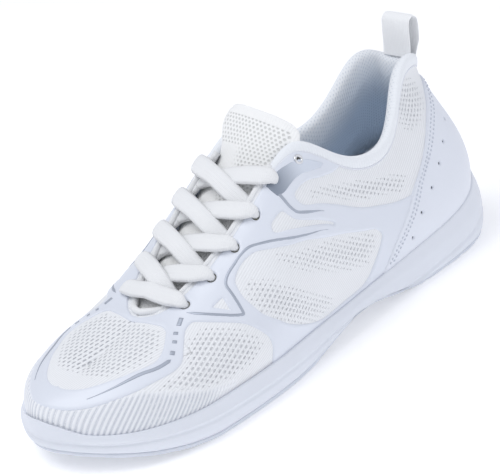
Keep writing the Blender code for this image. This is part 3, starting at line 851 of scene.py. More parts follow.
def print_line(gather, corners, width, start=0, end=0):
    """Adds a thin raised strip on each side of the shoe, tapered over its first and last millimetres."""
    place, level = (rounded(corners, 0.7, closed=False) / CHART).T
    run = lengths(skin(place, level))
    taper = np.ones_like(run)
    if start:
        taper *= np.clip(run / start, THINNEST, 1)
    if end:
        taper *= np.clip((run[-1] - run) / end, THINNEST, 1)
    x, y = np.array(STRIP).T
    for sign in (1, -1):
        middle, up = spot(sign * place, level, PRINT_BASE + 0.02), normal(sign * place, level)
        across = unit(np.cross(up, unit(np.gradient(middle, axis=0))))
        gather.add(*sweep(middle, across, up, (width * taper)[:, None] * x, y * PRINT_THICK))


# ---- knit upper, ribs, film and counter ----

SIDE_GRAIN = math.radians(155)              # the wales' turn on the sides, from the shoe's length
VAMP_GRAIN = math.radians(160)
KNIT_STEP = 0.62                            # between the columns of the knit's face
GROUP = 6                                   # columns and rows of the face to one of the back
ROW_GROUP = 8
KNIT_BACK = -1.9                            # height of the back
HOLE_DEPTH = 0.42
WELL_DEPTH = 0.7                            # how far the knit sinks inside an eyelet


def eyelets(side):
    """Station, level and radius of each hole in one eyestay."""
    laced = [(find_place(x, side, EYELET_LEVEL), EYELET_LEVEL, EYELET_RADIUS) for x in EYELET_X]
    return laced + [(find_place(TOP_EYELET_X, side, TOP_EYELET_LEVEL), TOP_EYELET_LEVEL, TOP_EYELET_RADIUS)]


def hole_size(place, level):
    """How open the knit is, from 0 where it is plain to 1 in the middle of a mesh area."""
    chart = np.stack([from_heel(place), level], axis=-1).reshape(-1, 2) * CHART
    size = np.zeros(len(chart))
    for area in MESH_AREAS:
        depth = edge_distance(chart, rounded([(p, t, 3) for p, t in area], 4.0))
        size = np.maximum(size, np.clip(depth / 5.0, 0, 1) * 0.6 + (depth > 0) * 0.4)
    return size.reshape(np.shape(place))


def turned(a, b, angle):
    return a * math.cos(angle) + b * math.sin(angle), b * math.cos(angle) - a * math.sin(angle)


def fabric_grain(place, level):
    """Directions along the wales and across them, in millimetres."""
    where = skin(place, level)
    vamp = (from_heel(place) > 8.4) & (level > 0.5)
    front = turned(where[..., 0], where[..., 1], VAMP_GRAIN)
    sides = turned(along(np.abs(place)), climb(place, level), SIDE_GRAIN)
    return [np.where(vamp, a, b) for a, b in zip(front, sides)]


def hole_shape(u, v, size):
    """1 in a hole of the knit and 0 between holes."""
    row = np.round(v / ROW_PITCH)
    cell = u / HOLE_PITCH + row / 2
    across = (cell - np.round(cell)) * HOLE_PITCH
    reach = np.hypot(across / HOLE_LONG, (v - row * ROW_PITCH) / HOLE_WIDE)
    f = np.clip((reach - size + 0.35) / 0.7, 0, 1)
    return (1 - f * f * (3 - 2 * f)) * (size > 0.05)


def knit_columns():
    """Stations all round, a whole number of groups between the lines where pieces meet."""
    marks = [-TOE, -THROAT_END, -SPLIT, SPLIT, THROAT_END, TOE]
    places = []
    for low, high in zip(marks, marks[1:]):
        count = GROUP * round((along(high) - along(low)) / KNIT_STEP / GROUP)
        places.append(even_places(low, high, count, endpoint=False))
    return np.concatenate(places)


def knit_rim(columns, rows, inner_rows, throat):
    """Faces that join the fine face to the coarse back, below and where the throat is open."""
    rim = []
    start, groups = columns * rows, columns // GROUP
    for i in range(groups):
        a, b = start + i * inner_rows, start + (i + 1) % groups * inner_rows
        fine = [(i * GROUP + k) % columns * rows for k in range(GROUP + 1)]
        rim += [[fine[k], fine[k + 1], a, a] for k in range(GROUP)] + [[fine[-1], b, a, a]]
        if throat[i]:
            top, a, b = rows - 1, a + inner_rows - 1, b + inner_rows - 1
            rim += [[fine[k + 1] + top, fine[k] + top, a, a] for k in range(GROUP)]
            rim += [[fine[-1] + top, a, b, b]]
    return np.array(rim)


def make_knit():
    """The upper's knit as one closed shell, its holes sunk into the face."""
    places = knit_columns()
    columns, rows = len(places), ROW_GROUP * 13 + 1
    place = np.repeat(places[:, None], rows, axis=1)
    level = level_at(place, np.linspace(0, 1, rows))
    size = hole_size(place, level)
    u, v = fabric_grain(place, level)
    base = skin(place, level)
    # Mask of the knit sunk into each eyelet: it sets the sinking and the painted shade.
    shaded_well = np.zeros_like(level)
    for where, at, radius in eyelets("outer") + eyelets("inner"):
        near = np.linalg.norm(base - skin(where, at), axis=-1)
        shaded_well = np.maximum(shaded_well, np.clip((radius + 0.5 - near) / 0.8, 0, 1))
    outer = spot(place, level, -KNIT_DEPTH - HOLE_DEPTH * hole_shape(u, v, size) - WELL_DEPTH * shaded_well)
    coarse = place[::GROUP, ::ROW_GROUP]
    inner = spot(coarse, level[::GROUP, ::ROW_GROUP], KNIT_BACK)
    groups, inner_rows = coarse.shape
    back = grid_faces(groups, inner_rows, rows_close=True)[:, ::-1] + columns * rows
    rim = knit_rim(columns, rows, inner_rows, from_heel(coarse[:, 0]) < THROAT_END - 1e-6)
    faces = np.vstack([grid_faces(columns, rows, rows_close=True), back, rim])
    points = np.vstack([outer.reshape(-1, 3), inner.reshape(-1, 3)])
    values = {"grain": np.vstack([vectors(u, v), np.zeros((coarse.size, 3))]),
              "hole": np.append(size, np.zeros(coarse.size)),
              "shaded_well": np.append(shaded_well, np.zeros(coarse.size)),
              "station": np.append(place, coarse)}
    points, faces, values = weld(points, faces, values)
    front = from_heel(values.pop("station")) - SPLIT
    rear, toe = build_long("knit_upper", points, faces, "knit", front, values, slot="knit_mesh")
    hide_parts("quarter_rear", "quarter_flex_outer", "quarter_flex_inner")
    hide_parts("quarter_mid_outer", "quarter_mid_inner", "vamp_flex_outer", "vamp_flex_inner",
                "toe_box")


RIB_PITCH = 2.1
RIB_LEAN = 0.8                              # how far the side's ribs lean back going up, per mm
RIB_END = 7.3                               # station where the band starts on each side
RIB_TOP = [(RIB_END, .11), (8.5, .18), (9.4, .30), (10.2, .42), (10.9, .40), (11.6, .34), (12.2, .32),
           (13, .385)]                      # station and level of the band's upper edge
RIB_STEP = 0.28                             # between the band's columns
RIB_BASE = -KNIT_DEPTH - 0.20               # height of the grooves where the band fades out
RIB_HIGH = 0.62


def make_ribs():
    """Band of knitted ribs round the toe, fading out along each side."""
    half = even_places(RIB_END, TOE, int((along(TOE) - along(RIB_END)) / RIB_STEP))
    place = np.concatenate([half, (COUNT - half)[::-1][1:]])[:, None]
    side = from_heel(place)
    top = np.interp(side, *zip(*RIB_TOP))
    share = np.linspace(0, 1, 37)
    level = share * top
    from_toe = (along(TOE) - along(side)) * np.where(place > TOE, -1, 1)
    b = climb(side, top) * share
    phase = (from_toe - RIB_LEAN * np.tanh(from_toe / 35) * b) / RIB_PITCH
    rib = (0.5 + 0.5 * np.cos(2 * math.pi * phase)) ** 0.45
    reach = np.interp(side, [9.5, 11], [0.3, 0.08])
    fade = np.clip((side - RIB_END) / 1.2, 0, 1) * np.clip((1 - share) / reach, 0, 1)
    outer = spot(place, level, RIB_BASE + fade * (0.05 + RIB_HIGH * rib))
    points, faces = slab(outer, spot(place, level, -KNIT_DEPTH - 0.6))
    # rib attribute: 1 on the crests and where the band fades out, lower in the grooves that get painted
    # shade.
    shown = 1 - fade * (1 - rib)
    values = {"rib": np.tile(shown.ravel(), 2), "grain": np.tile(vectors(from_toe + 0 * b, b), (2, 1))}
    made = build("ribbed_toe_wrap", points, faces, "ribs", "front", values, slot="toe_knit")
    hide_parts("toe_wrap")


def make_film():
    def welt(distance):
        """A low ridge just inside every edge, where the film is pressed on."""
        return 0.16 * np.exp(-((distance - 1.3) / 0.55) ** 2)

    outlines = [rounded(line) for line in (FILM_OUTLINE, MID_WINDOW, STAR_WINDOW, SLIVER_WINDOW)]
    holes = [circle(*eyelet) for eyelet in eyelets("outer")]
    points, faces, stations = patch(outlines + holes, -KNIT_DEPTH, FILM_THICK, swell=welt)
    rear, toe = build_long("film_overlay", points, faces, "film", stations - SPLIT, slot="film_overlay")
    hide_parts("eyestay_outer", "eyestay_inner")
    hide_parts("saddle_overlay_outer", "saddle_overlay_inner")


def square_axes(n):
    """Two directions square to n and to each other."""
    a = unit(np.cross(n, UP))
    return a, np.cross(n, a)


def make_counter():
    def fold(distance):
        """A shallow groove where the edge is turned in."""
        return -0.22 * np.exp(-((distance - 2.0) / 0.5) ** 2)

    holes = [circle(place, level, 0.55, 10) for place, level in COUNTER_HOLES]
    points, faces, _ = patch([rounded(COUNTER_OUTLINE)] + holes, -KNIT_DEPTH, 1.05, edge=0.9, swell=fold)
    made = build("heel_counter_shell", points, faces, "counter", "rear", slot="counter_leather")
    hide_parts("heel_counter")
    # Dark discs under the counter's holes: painted shadow down inside each hole.
    dots = Gather()
    x, y = np.cos(turns(12)) * 0.62, np.sin(turns(12)) * 0.62
    for place, level in COUNTER_HOLES:
        for sign in (1, -1):
            middle, n = spot(sign * place, level, -0.35), normal(sign * place, level)
            a, b = square_axes(n)
            dots.add(*sweep(np.stack([middle, middle - n * 0.2]), a[None], b[None], x, y))
    dots.build("counter_hole_shadow_discs", "shaded_well", "rear")


def make_lines():
    silver = Gather()
    print_line(silver, SILVER_LINE, 1.25, start=3, end=16)
    print_line(silver, SILVER_UPPER, 1.4, end=10)
    print_line(silver, TOE_LINE, 1.7, start=1, end=22)
    for a, b in DASHES:
        print_line(silver, [a, b], 2.0)
    silver.build_sides("silver_line", "silver", "film_overlay")
    points, faces, stations = patch([rounded(ACCENT)], PRINT_BASE, 0.22, edge=0.4)
    tone = np.clip((5.75 - stations) / 1.2, 0, 1)
    values = {"grain": vectors(tone, tone)}
    build("accent_print", points, faces, "accent", "rear", values, slot="film_overlay")


# ---- collar and lining ----

COLLAR_END = 5.75
# Down the outside, over the top line and down the inside: millimetres below the top line, depth.
COLLAR_PROFILE = [(5.0, 1.2), (4.9, .35), (4.5, -.15), (3.6, -.45), (2.4, -.65), (1.2, -.6), (.3, -.35),
                  (-.4, .2), (-.8, 1.1), (-.8, 2.1), (-.4, 3.1), (.4, 4.0), (1.7, 4.7), (3.6, 5.3),
                  (6.5, 5.9), (10, 6.3), (14, 6.2), (19, 5.7), (25, 5.0), (32, 4.5), (40, 4.0)]
COLLAR_BACK = (0.86, 0.7, 0.55, 0.42, 0.3, 0.2, 0.1, 0.02)      # shares of the way down, going up again
COLLAR_BACK_DEPTH = 2.3
COLLAR_COLUMNS = 420
CORE = 1.6                                  # depth that the rolled edge thins towards at its ends


def smooth_profile(corners, per_span=3):
    """Points of a smooth open curve through the corners."""
    points = np.array(corners, dtype=float)
    span = np.linalg.norm(np.diff(points[:, :3], axis=0), axis=1)[:, None] ** 0.75
    slope = np.diff(points, axis=0) / span
    shared = (slope[1:] * span[:-1] + slope[:-1] * span[1:]) / (span[1:] + span[:-1])
    tangent = np.vstack([slope[:1], shared, slope[-1:]])
    f = (np.arange(per_span) / per_span)[:, None]
    ease = f * f * (3 - 2 * f)
    out = [points[i] * (1 - ease) + points[i + 1] * ease
           + span[i] * (tangent[i] * f * (1 - f) ** 2 - tangent[i + 1] * f * f * (1 - f))
           for i in range(len(span))]
    return np.vstack(out + [points[-1:]])


def below_top(place, below, depth):
    """Points at a distance under the top line along the surface, and over it where that is negative."""
    full = climb(place, 1)
    level = level_at(place, 1 - np.clip(below, 0, full * 0.9) / full)
    up = unit(skin(place, 1) - skin(place, 0.96))
    return spot(place, level, -depth) + up * np.maximum(-below, 0)[..., None]


def cord_tube(middle, radius, around):
    """Round tube along points."""
    run = unit(np.gradient(middle, axis=0))
    a = unit(np.cross(run, UP + 0.01))
    turn = turns(around)
    return sweep(middle, a, np.cross(run, a), np.cos(turn) * radius, np.sin(turn) * radius)


def make_collar():
    places = even_places(-COLLAR_END, COLLAR_END, COLLAR_COLUMNS)
    shown = smooth_profile(COLLAR_PROFILE)
    count = len(shown)
    thin = np.interp(from_heel(places), [0, 4.7, 5.3, COLLAR_END], [1, 1, 0.75, 0.5])
    place = np.repeat(places[:, None], count, axis=1)
    full = climb(places, 1)
    below = np.minimum(shown[:, 0], full[:, None] * 0.86) * np.where(shown[:, 0] < 7, thin[:, None], 1)
    depth = CORE + (shown[:, 1] - CORE) * thin[:, None]
    u, v = along(place), np.zeros_like(place)
    v[:, 1:] = np.cumsum(np.hypot(np.diff(below, axis=1), np.diff(depth, axis=1)), axis=1)
    puff = np.clip((below - 7) / 3, 0, 1) * np.clip((30 - below) / 10, 0, 1) * (depth > 3)
    depth = depth + puff * 0.35 * np.sin(u / 9.0) * np.sin(v / 7.0 + u / 23.0)
    hidden = [below_top(places, full * share, COLLAR_BACK_DEPTH) for share in COLLAR_BACK]
    points = np.concatenate([below_top(place, below, depth), np.stack(hidden, axis=1)], axis=1)
    grain = np.zeros(points.shape)
    grain[:, :count, 0], grain[:, :count, 1] = u, v
    # Painted shade mask down inside the collar: 0 at the rim, 1 deeper in.
    inside_shade = np.ones(points.shape[:2])
    inside_shade[:, :count] = np.clip((v - 12) / 24, 0, 1) ** 0.8
    values = {"grain": grain.reshape(-1, 3), "inside_shade": inside_shade.ravel()}
    faces = tube_faces(*points.shape[:2])[:, ::-1]
    made = build("collar_lining", points.reshape(-1, 3), faces, "lining", "rear", values,
                 slot="collar_lining")
    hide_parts("collar_rear", "collar_front_outer", "collar_front_inner")
    build("collar_seam", *cord_tube(below_top(places, 5.2 * thin, 0.35), 0.42, 6), "piping", "rear")


def make_throat_roll():
    """Rolled knit edge round the throat, beside the film."""
    outer = np.linspace(5.5, 8.1, 72)
    sides = [spot(place, 1, -1.1)[::3] for place in (outer, -outer[::-1])]
    end = [(198.2, 4.2, 45.0), (199.6, 0.0, 44.8), (198.2, -4.2, 45.0)]
    middle = smooth_profile(np.vstack([sides[0], end, sides[1]]), 5)
    around = 16
    values = sweep_grain(middle, np.arange(around) * 0.57)
    build("throat_roll", *cord_tube(middle, 1.45, around), "lace", "front", values, slot="knit_mesh")


def make_shells():
    """The stiffeners between the knit and the lining, at the heel and the toe."""
    shells = (("heel_stiffener", -3, 3, 0.72, "rear"), ("toe_puff", 10.6, 15.4, 0.32, "front"))
    for name, low, high, top, body in shells:
        place, level = np.linspace(low, high, 41)[:, None], np.linspace(0.04, top, 13)
        points, faces = slab(spot(place, level, -2.15), spot(place, level, -2.75))
        made = build(name + "_shell", points, faces, "plastic", body, slot="stiffener_plastic")
        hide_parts(name)


# ---- sole ----

def mirrored_places(spacing):
    """Stations all round from the heel, each outer one with its inner twin."""
    half = [even_places(a, b, round((along(b) - along(a)) / spacing), endpoint=False)
            for a, b in ((0, SPLIT), (SPLIT, TOE))]
    half = np.concatenate(half + [[TOE]])
    return np.concatenate([half, (COUNT - half)[::-1][1:-1]])


def ground(x):
    return np.interp(x, *zip(*GROUND))


def footbed(x):
    return np.interp(x, *zip(*FOOTBED))


def outline(places, reach, bulge=0):
    """Feather line moved outward, and further by bulge at the heel, fading within four stations."""
    reach = reach + bulge * (1 - np.minimum(from_heel(places) / 4, 1))
    return station(places)[:, :3] + outward(places) * reach[:, None]


def deck(ring_points, count, height=None):
    """Grid of points across the shoe between the twin points of an outline."""
    half = len(ring_points) // 2 + 1
    left, right = ring_points[:half], ring_points[-np.arange(half)]
    share = np.linspace(0, 1, count)[:, None]
    points = left[:, None] * (1 - share) + right[:, None] * share
    if height:
        points[:, 1:-1, 2] += height(points)[:, 1:-1]
    return points.reshape(-1, 3)


def sole_solid(places, rings, top_deck, low_deck):
    """Closed solid of outlines stacked from the top down, with a deck over and one under them.

    A deck is given by its number of points across and a function for its height, if any.
    Returns points, faces and how far each point lies past the place where rear and front meet.
    """
    columns = len(places)
    half = columns // 2 + 1
    points = rings + [deck(rings[0], *top_deck), deck(rings[-1], *low_deck)]
    starts = np.cumsum([len(rings) * columns, len(points[-2])])
    faces = [grid_faces(len(rings), columns, columns_close=True),
             grid_faces(half, top_deck[0])[:, ::-1] + starts[0],
             grid_faces(half, low_deck[0]) + starts[1]]
    side = from_heel(places)
    decks = [np.repeat(side[:half], count) for count, *_ in (top_deck, low_deck)]
    front = [np.tile(side, len(rings))] + decks
    values = {"front": np.concatenate(front) - SPLIT}
    points, faces, values = weld(np.vstack(points), np.vstack(faces), values)
    return points, faces, values["front"]


# Station and height of the groove in the sole's wall, as a share of the wall.
GROOVE = [(0, .50), (1.5, .46), (3, .34), (3.8, .14), (4.4, .18), (5.5, .52), (8, .62), (10.5, .70),
          (12, .68), (13, .60)]
# Station and rise of the toe bumper.
BUMPER = [(11.8, 0), (12.4, 2.4), (13, 3.4)]


def make_midsole():
    places = mirrored_places(1.5)
    side = from_heel(places)
    g = np.interp(side, *zip(*GROOVE))
    bumper = np.interp(side, *zip(*BUMPER))
    # Reach out of the feather line, extra reach at the heel, and height: share of the wall plus millimetres.
    rows = [(-1.2, 0, 1, -.6), (-.9, 0, 1, .3), (-.2, 0, 1, .85), (.6, 0, 1, 1.05), (1.15, 0, 1, .85),
            (1.45, .1, 1, -.1), (1.55, .4, .95, 0), (2.0, .8, np.maximum(.86, g + .17), 0),
            (2.4, 1.3, np.maximum(.76, g + .13), .1), (2.65, 1.6, np.maximum(.66, g + .10), .2),
            (2.75, 1.8, g + .07, .25), (2.5, 1.7, g + .03, .15), (2.15, 1.5, g, 0),
            (2.4, 1.65, g - .03, -.15), (2.7, 1.75, g - .07, -.25), (2.5, 1.6, g * .6, .2),
            (2.0, 1.2, g * .3, .9), (1.2, .6, 0, 2.55), (-4, 0, 0, 2.5)]
    rings = [outline(places, -6.2)]
    rings[0][:, 2] = footbed(rings[0][:, 0])
    for reach, bulge, share, extra in rows:
        line = outline(places, reach, bulge)
        low = ground(line[:, 0])
        rise = bumper * np.clip((np.max(share) - 0.7) / 0.3, 0, 1) * (reach > 0.2)
        line[:, 2] = np.maximum(low + share * (line[:, 2] - low) + extra + rise, low + 2.5)
        rings.append(line)
    points, faces, front = sole_solid(places, rings, (9,), (9,))
    rear, toe = build_long("midsole", points, faces, "foam", front, slot="midsole_foam")
    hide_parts("midsole_heel", "midsole_flex_arch", "midsole_mid")
    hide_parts("midsole_flex_ball", "midsole_toe")


TREAD_DEPTH = 1.25
BAR_PITCH = 6.5
RING_PITCH = 5.0
BALL_X = 196                                # middle of the turning rings


def cut(x, soft):
    """Grooves between bars: 0 on a bar and 1 between, a bar at each whole number."""
    return np.clip((np.abs(x - np.round(x)) - 0.27) / soft, 0, 1)


def tread(points):
    """Depth of the pattern under the sole: angled bars, and rings under the ball to turn on."""
    x, y = points[..., 0], points[..., 1]
    bars = cut((x + np.abs(y) * 0.55) / BAR_PITCH, 0.08)
    turn = np.hypot(x - BALL_X, y) / RING_PITCH
    grooves = np.where(turn < 4.2, cut(turn, 0.10) * (turn > 0.6), bars)
    arch = np.clip((np.abs(x - 108) - 34) / 3, 0, 1)
    share = np.linspace(0, 1, points.shape[1])
    width = np.linalg.norm(points[:, 0] - points[:, -1], axis=-1)[:, None]
    rim = np.clip(np.minimum(share, 1 - share) * width - 4.5, 0, 1)
    return TREAD_DEPTH * grooves * arch * rim


def make_outsole():
    places = mirrored_places(0.8)
    side = from_heel(places)
    notch = np.clip(np.cos(2 * math.pi * along(side) / 13.0) * 3 - 1.6, 0, 1) * 0.6
    notch *= np.interp(side, [0, 4, 4.6, 6.5, 7.5, 13], [1, 0.6, 0.1, 0.1, 0.3, 0.5])
    # Reach out of the feather line, extra reach at the heel, height over the ground, share of the notches.
    rows = [(-2.5, 0, 2.35, 0), (.75, .5, 2.45, 0), (1.15, .7, 2.2, 0), (1.25, .7, 1.4, .5), (.7, .6, .55, 1),
            (-.1, .3, .12, 1), (-1.4, 0, 0, 1)]
    rings = []
    for reach, bulge, height, depth in rows:
        line = outline(places, reach - notch * depth, bulge)
        line[:, 2] = ground(line[:, 0]) + height
        rings.append(line)
    points, faces, front = sole_solid(places, rings, (3,), (64, tread))
    rear, toe = build_long("outsole", points, faces, "rubber", front, slot="outsole_rubber")
    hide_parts("outsole_heel", "outsole_mid")
    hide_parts("outsole_toe")


def hollow(points):
    """Dish of the insole under the foot."""
    share = np.linspace(-1, 1, points.shape[1])
    return -0.9 * (1 - share ** 4) + 0 * points[..., 0]


def make_insole():
    places = mirrored_places(2.0)
    # Name, what it replaces, reach and height over the footbed, its upper deck, material, slot.
    layers = (("strobel", "strobel_board", ((-5.9, 1.5), (-6.0, .3)), (25,), "board", "board"),
              ("sockliner", "insole", ((-6.3, 5.6), (-5.9, 4.4), (-6.6, 1.8)), (25, hollow), "lining",
               "collar_lining"))
    for name, node, rows, top_deck, material, slot in layers:
        rings = [outline(places, reach) for reach, _ in rows]
        for line, (_, height) in zip(rings, rows):
            line[:, 2] = footbed(line[:, 0]) + height
        points, faces, front = sole_solid(places, rings, top_deck, (3,))
        # The sockliner gets most of the lining's painted shade, down in the shoe.
        values = {"grain": vectors(points[:, 0], points[:, 1] + 60), "inside_shade": np.full(len(points), 0.8)}
        rear, _ = build_long(name, points, faces, material, front, values, slot=slot)
        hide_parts(node)


# ---- tongue, laces, loop, eyelets and stitches ----

def throat_middle(x, lift):
    """Point in the middle of the throat, lift above its edges."""
    a, b = [skin(find_place(x, side, 1.0), 1.0) for side in ("outer", "inner")]
    return (a + b) / 2 + np.array([0.28, 0, 0.96]) * lift


def blunt(wave, power):
    """Makes a circle's sine or cosine squarer (power under 1)."""
    return np.sign(wave) * np.abs(wave) ** power


# Under the laces: x, depth below the throat's edges, half width, thickness.
TONGUE = [(209, 3.6, 7, 2.2), (203, 3.0, 10, 2.8), (197, 2.6, 12.5, 3.4), (190, 2.4, 14.5, 3.8),
          (181, 2.4, 16, 4), (172, 2.4, 17, 4), (160, 2.4, 18, 4), (148, 2.4, 18.8, 4), (138, 2.4, 19, 4.2),
          (131, 2.4, 18.4, 4.8)]
# Its free end: x, y, z, half width, thickness.
TONGUE_TOP = [(126.5, -.5, 81.5, 17.8, 5.4), (121.5, -1, 87.0, 19.0, 6.2), (116.5, -1.5, 91.6, 20.8, 6.6),
              (113.2, -1.8, 94.8, 20.4, 6.2), (111.3, -2, 96.7, 18.6, 5.2), (110.3, -2, 97.8, 15.0, 3.6),
              (109.9, -2, 98.3, 9.0, 1.6)]
TONGUE_ROLL = 0.13                          # how much lower the flap's outer side hangs, per mm of width
TONGUE_JOINT = 143                          # x where the free end's piece starts


def make_tongue():
    rows = [(*throat_middle(x, -drop), half, thick) for x, drop, half, thick in TONGUE]
    table = smooth_profile(rows + TONGUE_TOP, 14)
    middle = table[:, :3]
    half, thick = table[:, 3:4], table[:, 4:5]
    face = np.cross(SIDE, unit(np.gradient(middle, axis=0)))
    run = lengths(middle)[:, None]
    from_end = run[-1] - run
    turn = turns(72)
    share, rise = blunt(np.cos(turn), 0.55), blunt(np.sin(turn), 0.75)
    edge = 1 - np.clip((np.abs(share) - 0.80) / 0.06, 0, 1) * 0.22
    crown = np.interp(run, [0, run[-1, 0] - 24, run[-1, 0]], [4.0, 4.4, 5.0])
    sag = crown * (np.minimum(half, 18.5) / 18.5) ** 2 * share ** 2
    pad = np.clip((from_end - 5) / 3, 0, 1) * np.clip((26 - from_end) / 6, 0, 1)
    level = (rise * edge - 1) * thick / 2 + pad * 0.5 * np.cos(share * 1.3 * math.pi) ** 2 * (rise > 0)
    u = share * half
    points = middle[:, None] + face[:, None] * (level - sag)[..., None] + SIDE * u[..., None]
    points[..., 2] -= TONGUE_ROLL * np.clip((24 - from_end) / 14, 0, 1) * points[..., 1]
    meshed = (np.abs(u) < half - 2.5) & (from_end > 4.5) & (from_end < 44) & (rise > 0)
    plain = (u < -2) & (from_end > 17)
    values = {"grain": vectors(u, run + 0 * u), "hole": np.where(meshed & ~plain, 1.0, 0.0).ravel()}
    faces = tube_faces(*points.shape[:2])[:, ::-1]
    points = points.reshape(-1, 3)
    normals = point_normals(points, faces)
    low = points[faces].mean(axis=1)[:, 0] > TONGUE_JOINT
    base = build("tongue_lower", points, faces[low], "tongue", "front", values, normals, slot="tongue_mesh")
    flap = build("tongue_upper", points, faces[~low], "tongue", "flap", values, normals, slot="tongue_mesh")
    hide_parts("tongue_base")
    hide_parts("tongue_flap")


LAG = {"outer": 0.8, "inner": 6.0}          # how far behind its hole the lace comes out, on each side
OTHER = {"outer": "inner", "inner": "outer"}
LACE_OVER = LACE_THICK / 2 + 0.45           # lace's middle over the skin, and under it
LACE_UNDER = -(LACE_THICK / 2 + 1.4)
FULL = (LACE_WIDTH / 2, LACE_THICK / 2)


def lace_point(x, side, height, shift, at, size=FULL):
    """Lace's middle over a spot of the eyestay, its upward direction there, and its half sizes."""
    place = find_place(x + shift, side, at)
    n = normal(place, at)
    return *(skin(place, at) + n * height), *n, *size


def into_hole(x, side, lead=1.0):
    return [lace_point(x, side, LACE_OVER + 0.1, 2.2 * lead, 0.99),
            lace_point(x, side, LACE_OVER - 0.1, 0.8 * lead, 0.93, (3.7, 1.5)),
            lace_point(x, side, 1.15, 0.2, 0.895, (2.9, 1.45)),
            lace_point(x, side, -0.5, 0.0, 0.874, (1.7, 1.6)),
            lace_point(x, side, LACE_UNDER + 0.2, -0.4, 0.885, (2.2, 1.4))]


def out_from_under(x, side):
    return [lace_point(x, side, LACE_UNDER, -0.6 * LAG[side], 0.94),
            lace_point(x, side, LACE_UNDER, -LAG[side], 1.0)]


def crossing(low, high, side):
    """Middle of the throat between two eyelets: the strands from the outer side lie on top."""
    if side == "outer":
        middle = throat_middle(0.6 * low + 0.4 * high, 4.3) - SIDE
    else:
        middle = throat_middle(0.35 * low + 0.65 * high, 1.2)
    return [(*middle, 0.5, 0, 0.87, *FULL)]


def strand(side):
    """One end of the lace, from the lowest eyelet of a side up to its tucked end."""
    path = into_hole(EYELET_X[0], side, 0.1)
    for low, high in zip(EYELET_X, EYELET_X[1:]):
        path += out_from_under(low, side) + crossing(low, high, side)
        side = OTHER[side]
        path += into_hole(high, side)
    return path + out_from_under(EYELET_X[-1], side)


def make_lace():
    x, y, z = throat_middle(EYELET_X[0] + 0.5, 3.6)
    bar = [(x, y + side, z - abs(side) * 0.12, 0.4, 0, 0.9, *FULL) for side in (-4.5, 0, 4.5)]
    table = smooth_profile(strand("inner")[::-1] + bar + strand("outer"), 14)
    middle = table[:, :3]
    run = unit(np.gradient(middle, axis=0))
    across = unit(np.cross(run, table[:, 3:6]))
    turn = turns(26)
    welt = 1 + 0.035 * np.cos(turn * 13)
    wide, tall = blunt(np.cos(turn), 0.8) * welt, blunt(np.sin(turn), 0.8) * welt
    points, faces = sweep(middle, across, np.cross(across, run), wide * table[:, 6:7], tall * table[:, 7:8])
    values = sweep_grain(middle, turn * 3.0)
    made = build("lace_knitted", points, faces[:, ::-1], "lace", "front", values, slot="lace_knit")
    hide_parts("lace")


LOOP_HALF_WIDTH = 8.0
LOOP_THICK = 1.1
# Where the webbing comes up over the counter at the heel: level and height over the last.
LOOP_FOOT = [(0.80, -1.0), (0.87, 0.15), (0.93, 1.2)]
# Middle line of the loop above the collar: x and z.
LOOP_PATH = [(13.4, 89.0), (12.3, 94.0), (11.8, 98.5), (12.0, 102.0), (14.2, 104.0), (16.9, 103.0),
             (18.1, 99.3), (18.6, 94.8), (19.2, 90.0), (20.0, 86.0)]


def make_pull_loop():
    """Webbing from under the counter's edge up the heel, over in a loop and down into the collar."""
    per_span = 8
    foot = [spot(0.0, level, height)[[0, 2]] for level, height in LOOP_FOOT]
    line = smooth_profile(foot + LOOP_PATH, per_span)
    middle = np.column_stack([line[:, 0], 0 * line[:, 0], line[:, 1]])
    number = np.arange(len(middle))
    width = LOOP_HALF_WIDTH * np.interp(number / len(middle), [0.3, 0.5], [1, 0.98])[:, None]
    wrap = np.interp(middle[:, 2], [86, 92], [2.1, 0.0]) * (number < 5 * per_span)
    half = np.linspace(-1, 1, 17)
    w, face = np.concatenate([half, half[::-1]]), np.repeat([1, -1], len(half))
    y = face * LOOP_THICK / 2 * (1 - 0.7 * np.abs(w) ** 8) + wrap[:, None] * w * w
    points, faces = sweep(middle, SIDE[None], np.cross(SIDE, unit(np.gradient(middle, axis=0))), w * width, y)
    values = sweep_grain(middle, w * LOOP_HALF_WIDTH)
    made = build("pull_loop_webbing", points, faces, "webbing", "loop", values, sharp=50, slot="webbing")
    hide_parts("pull_loop", "pull_loop_tab")


# Section of a metal ring: distance from its middle and height over the last.
RING = [(1.0, -1.2), (1.5, -1.2), (1.5, 0.0), (2.1, 0.0), (2.25, 0.2), (2.1, 0.45), (1.8, 0.6), (1.45, 0.55),
        (1.2, 0.35), (1.05, 0.0)]


def make_top_eyelets():
    rings = Gather()
    turn = turns(40)[:, None]
    for side in ("outer", "inner"):
        place, level, _ = eyelets(side)[-1]
        n = normal(place, level)
        a, b = square_axes(n)
        spoke = a * np.cos(turn) + b * np.sin(turn)
        points = np.stack([skin(place, level) + spoke * r + n * h for r, h in RING], axis=1)
        faces = grid_faces(len(turn), len(RING), rows_close=True, columns_close=True)
        rings.add(points.reshape(-1, 3), faces[:, ::-1])
    made = rings.build("top_eyelet_rings", "metal", "rear", sharp=40, slot="eyelet_metal")
    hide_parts("top_eyelet_outer", "top_eyelet_inner")


# Sections of a stitch: share of its length, thickness, lift. Its ends are sunk in.
STITCH = np.array([(0, 0.5, -0.25), (0.2, 1, 0.1), (0.5, 1.1, 0.2), (0.8, 1, 0.1), (1, 0.5, -0.25)])
STITCH_RADIUS = 0.3
STITCH_PITCH = 2.1
STITCH_SHARE = 0.68                         # of the pitch that shows
STITCH_HEIGHT = 0.42


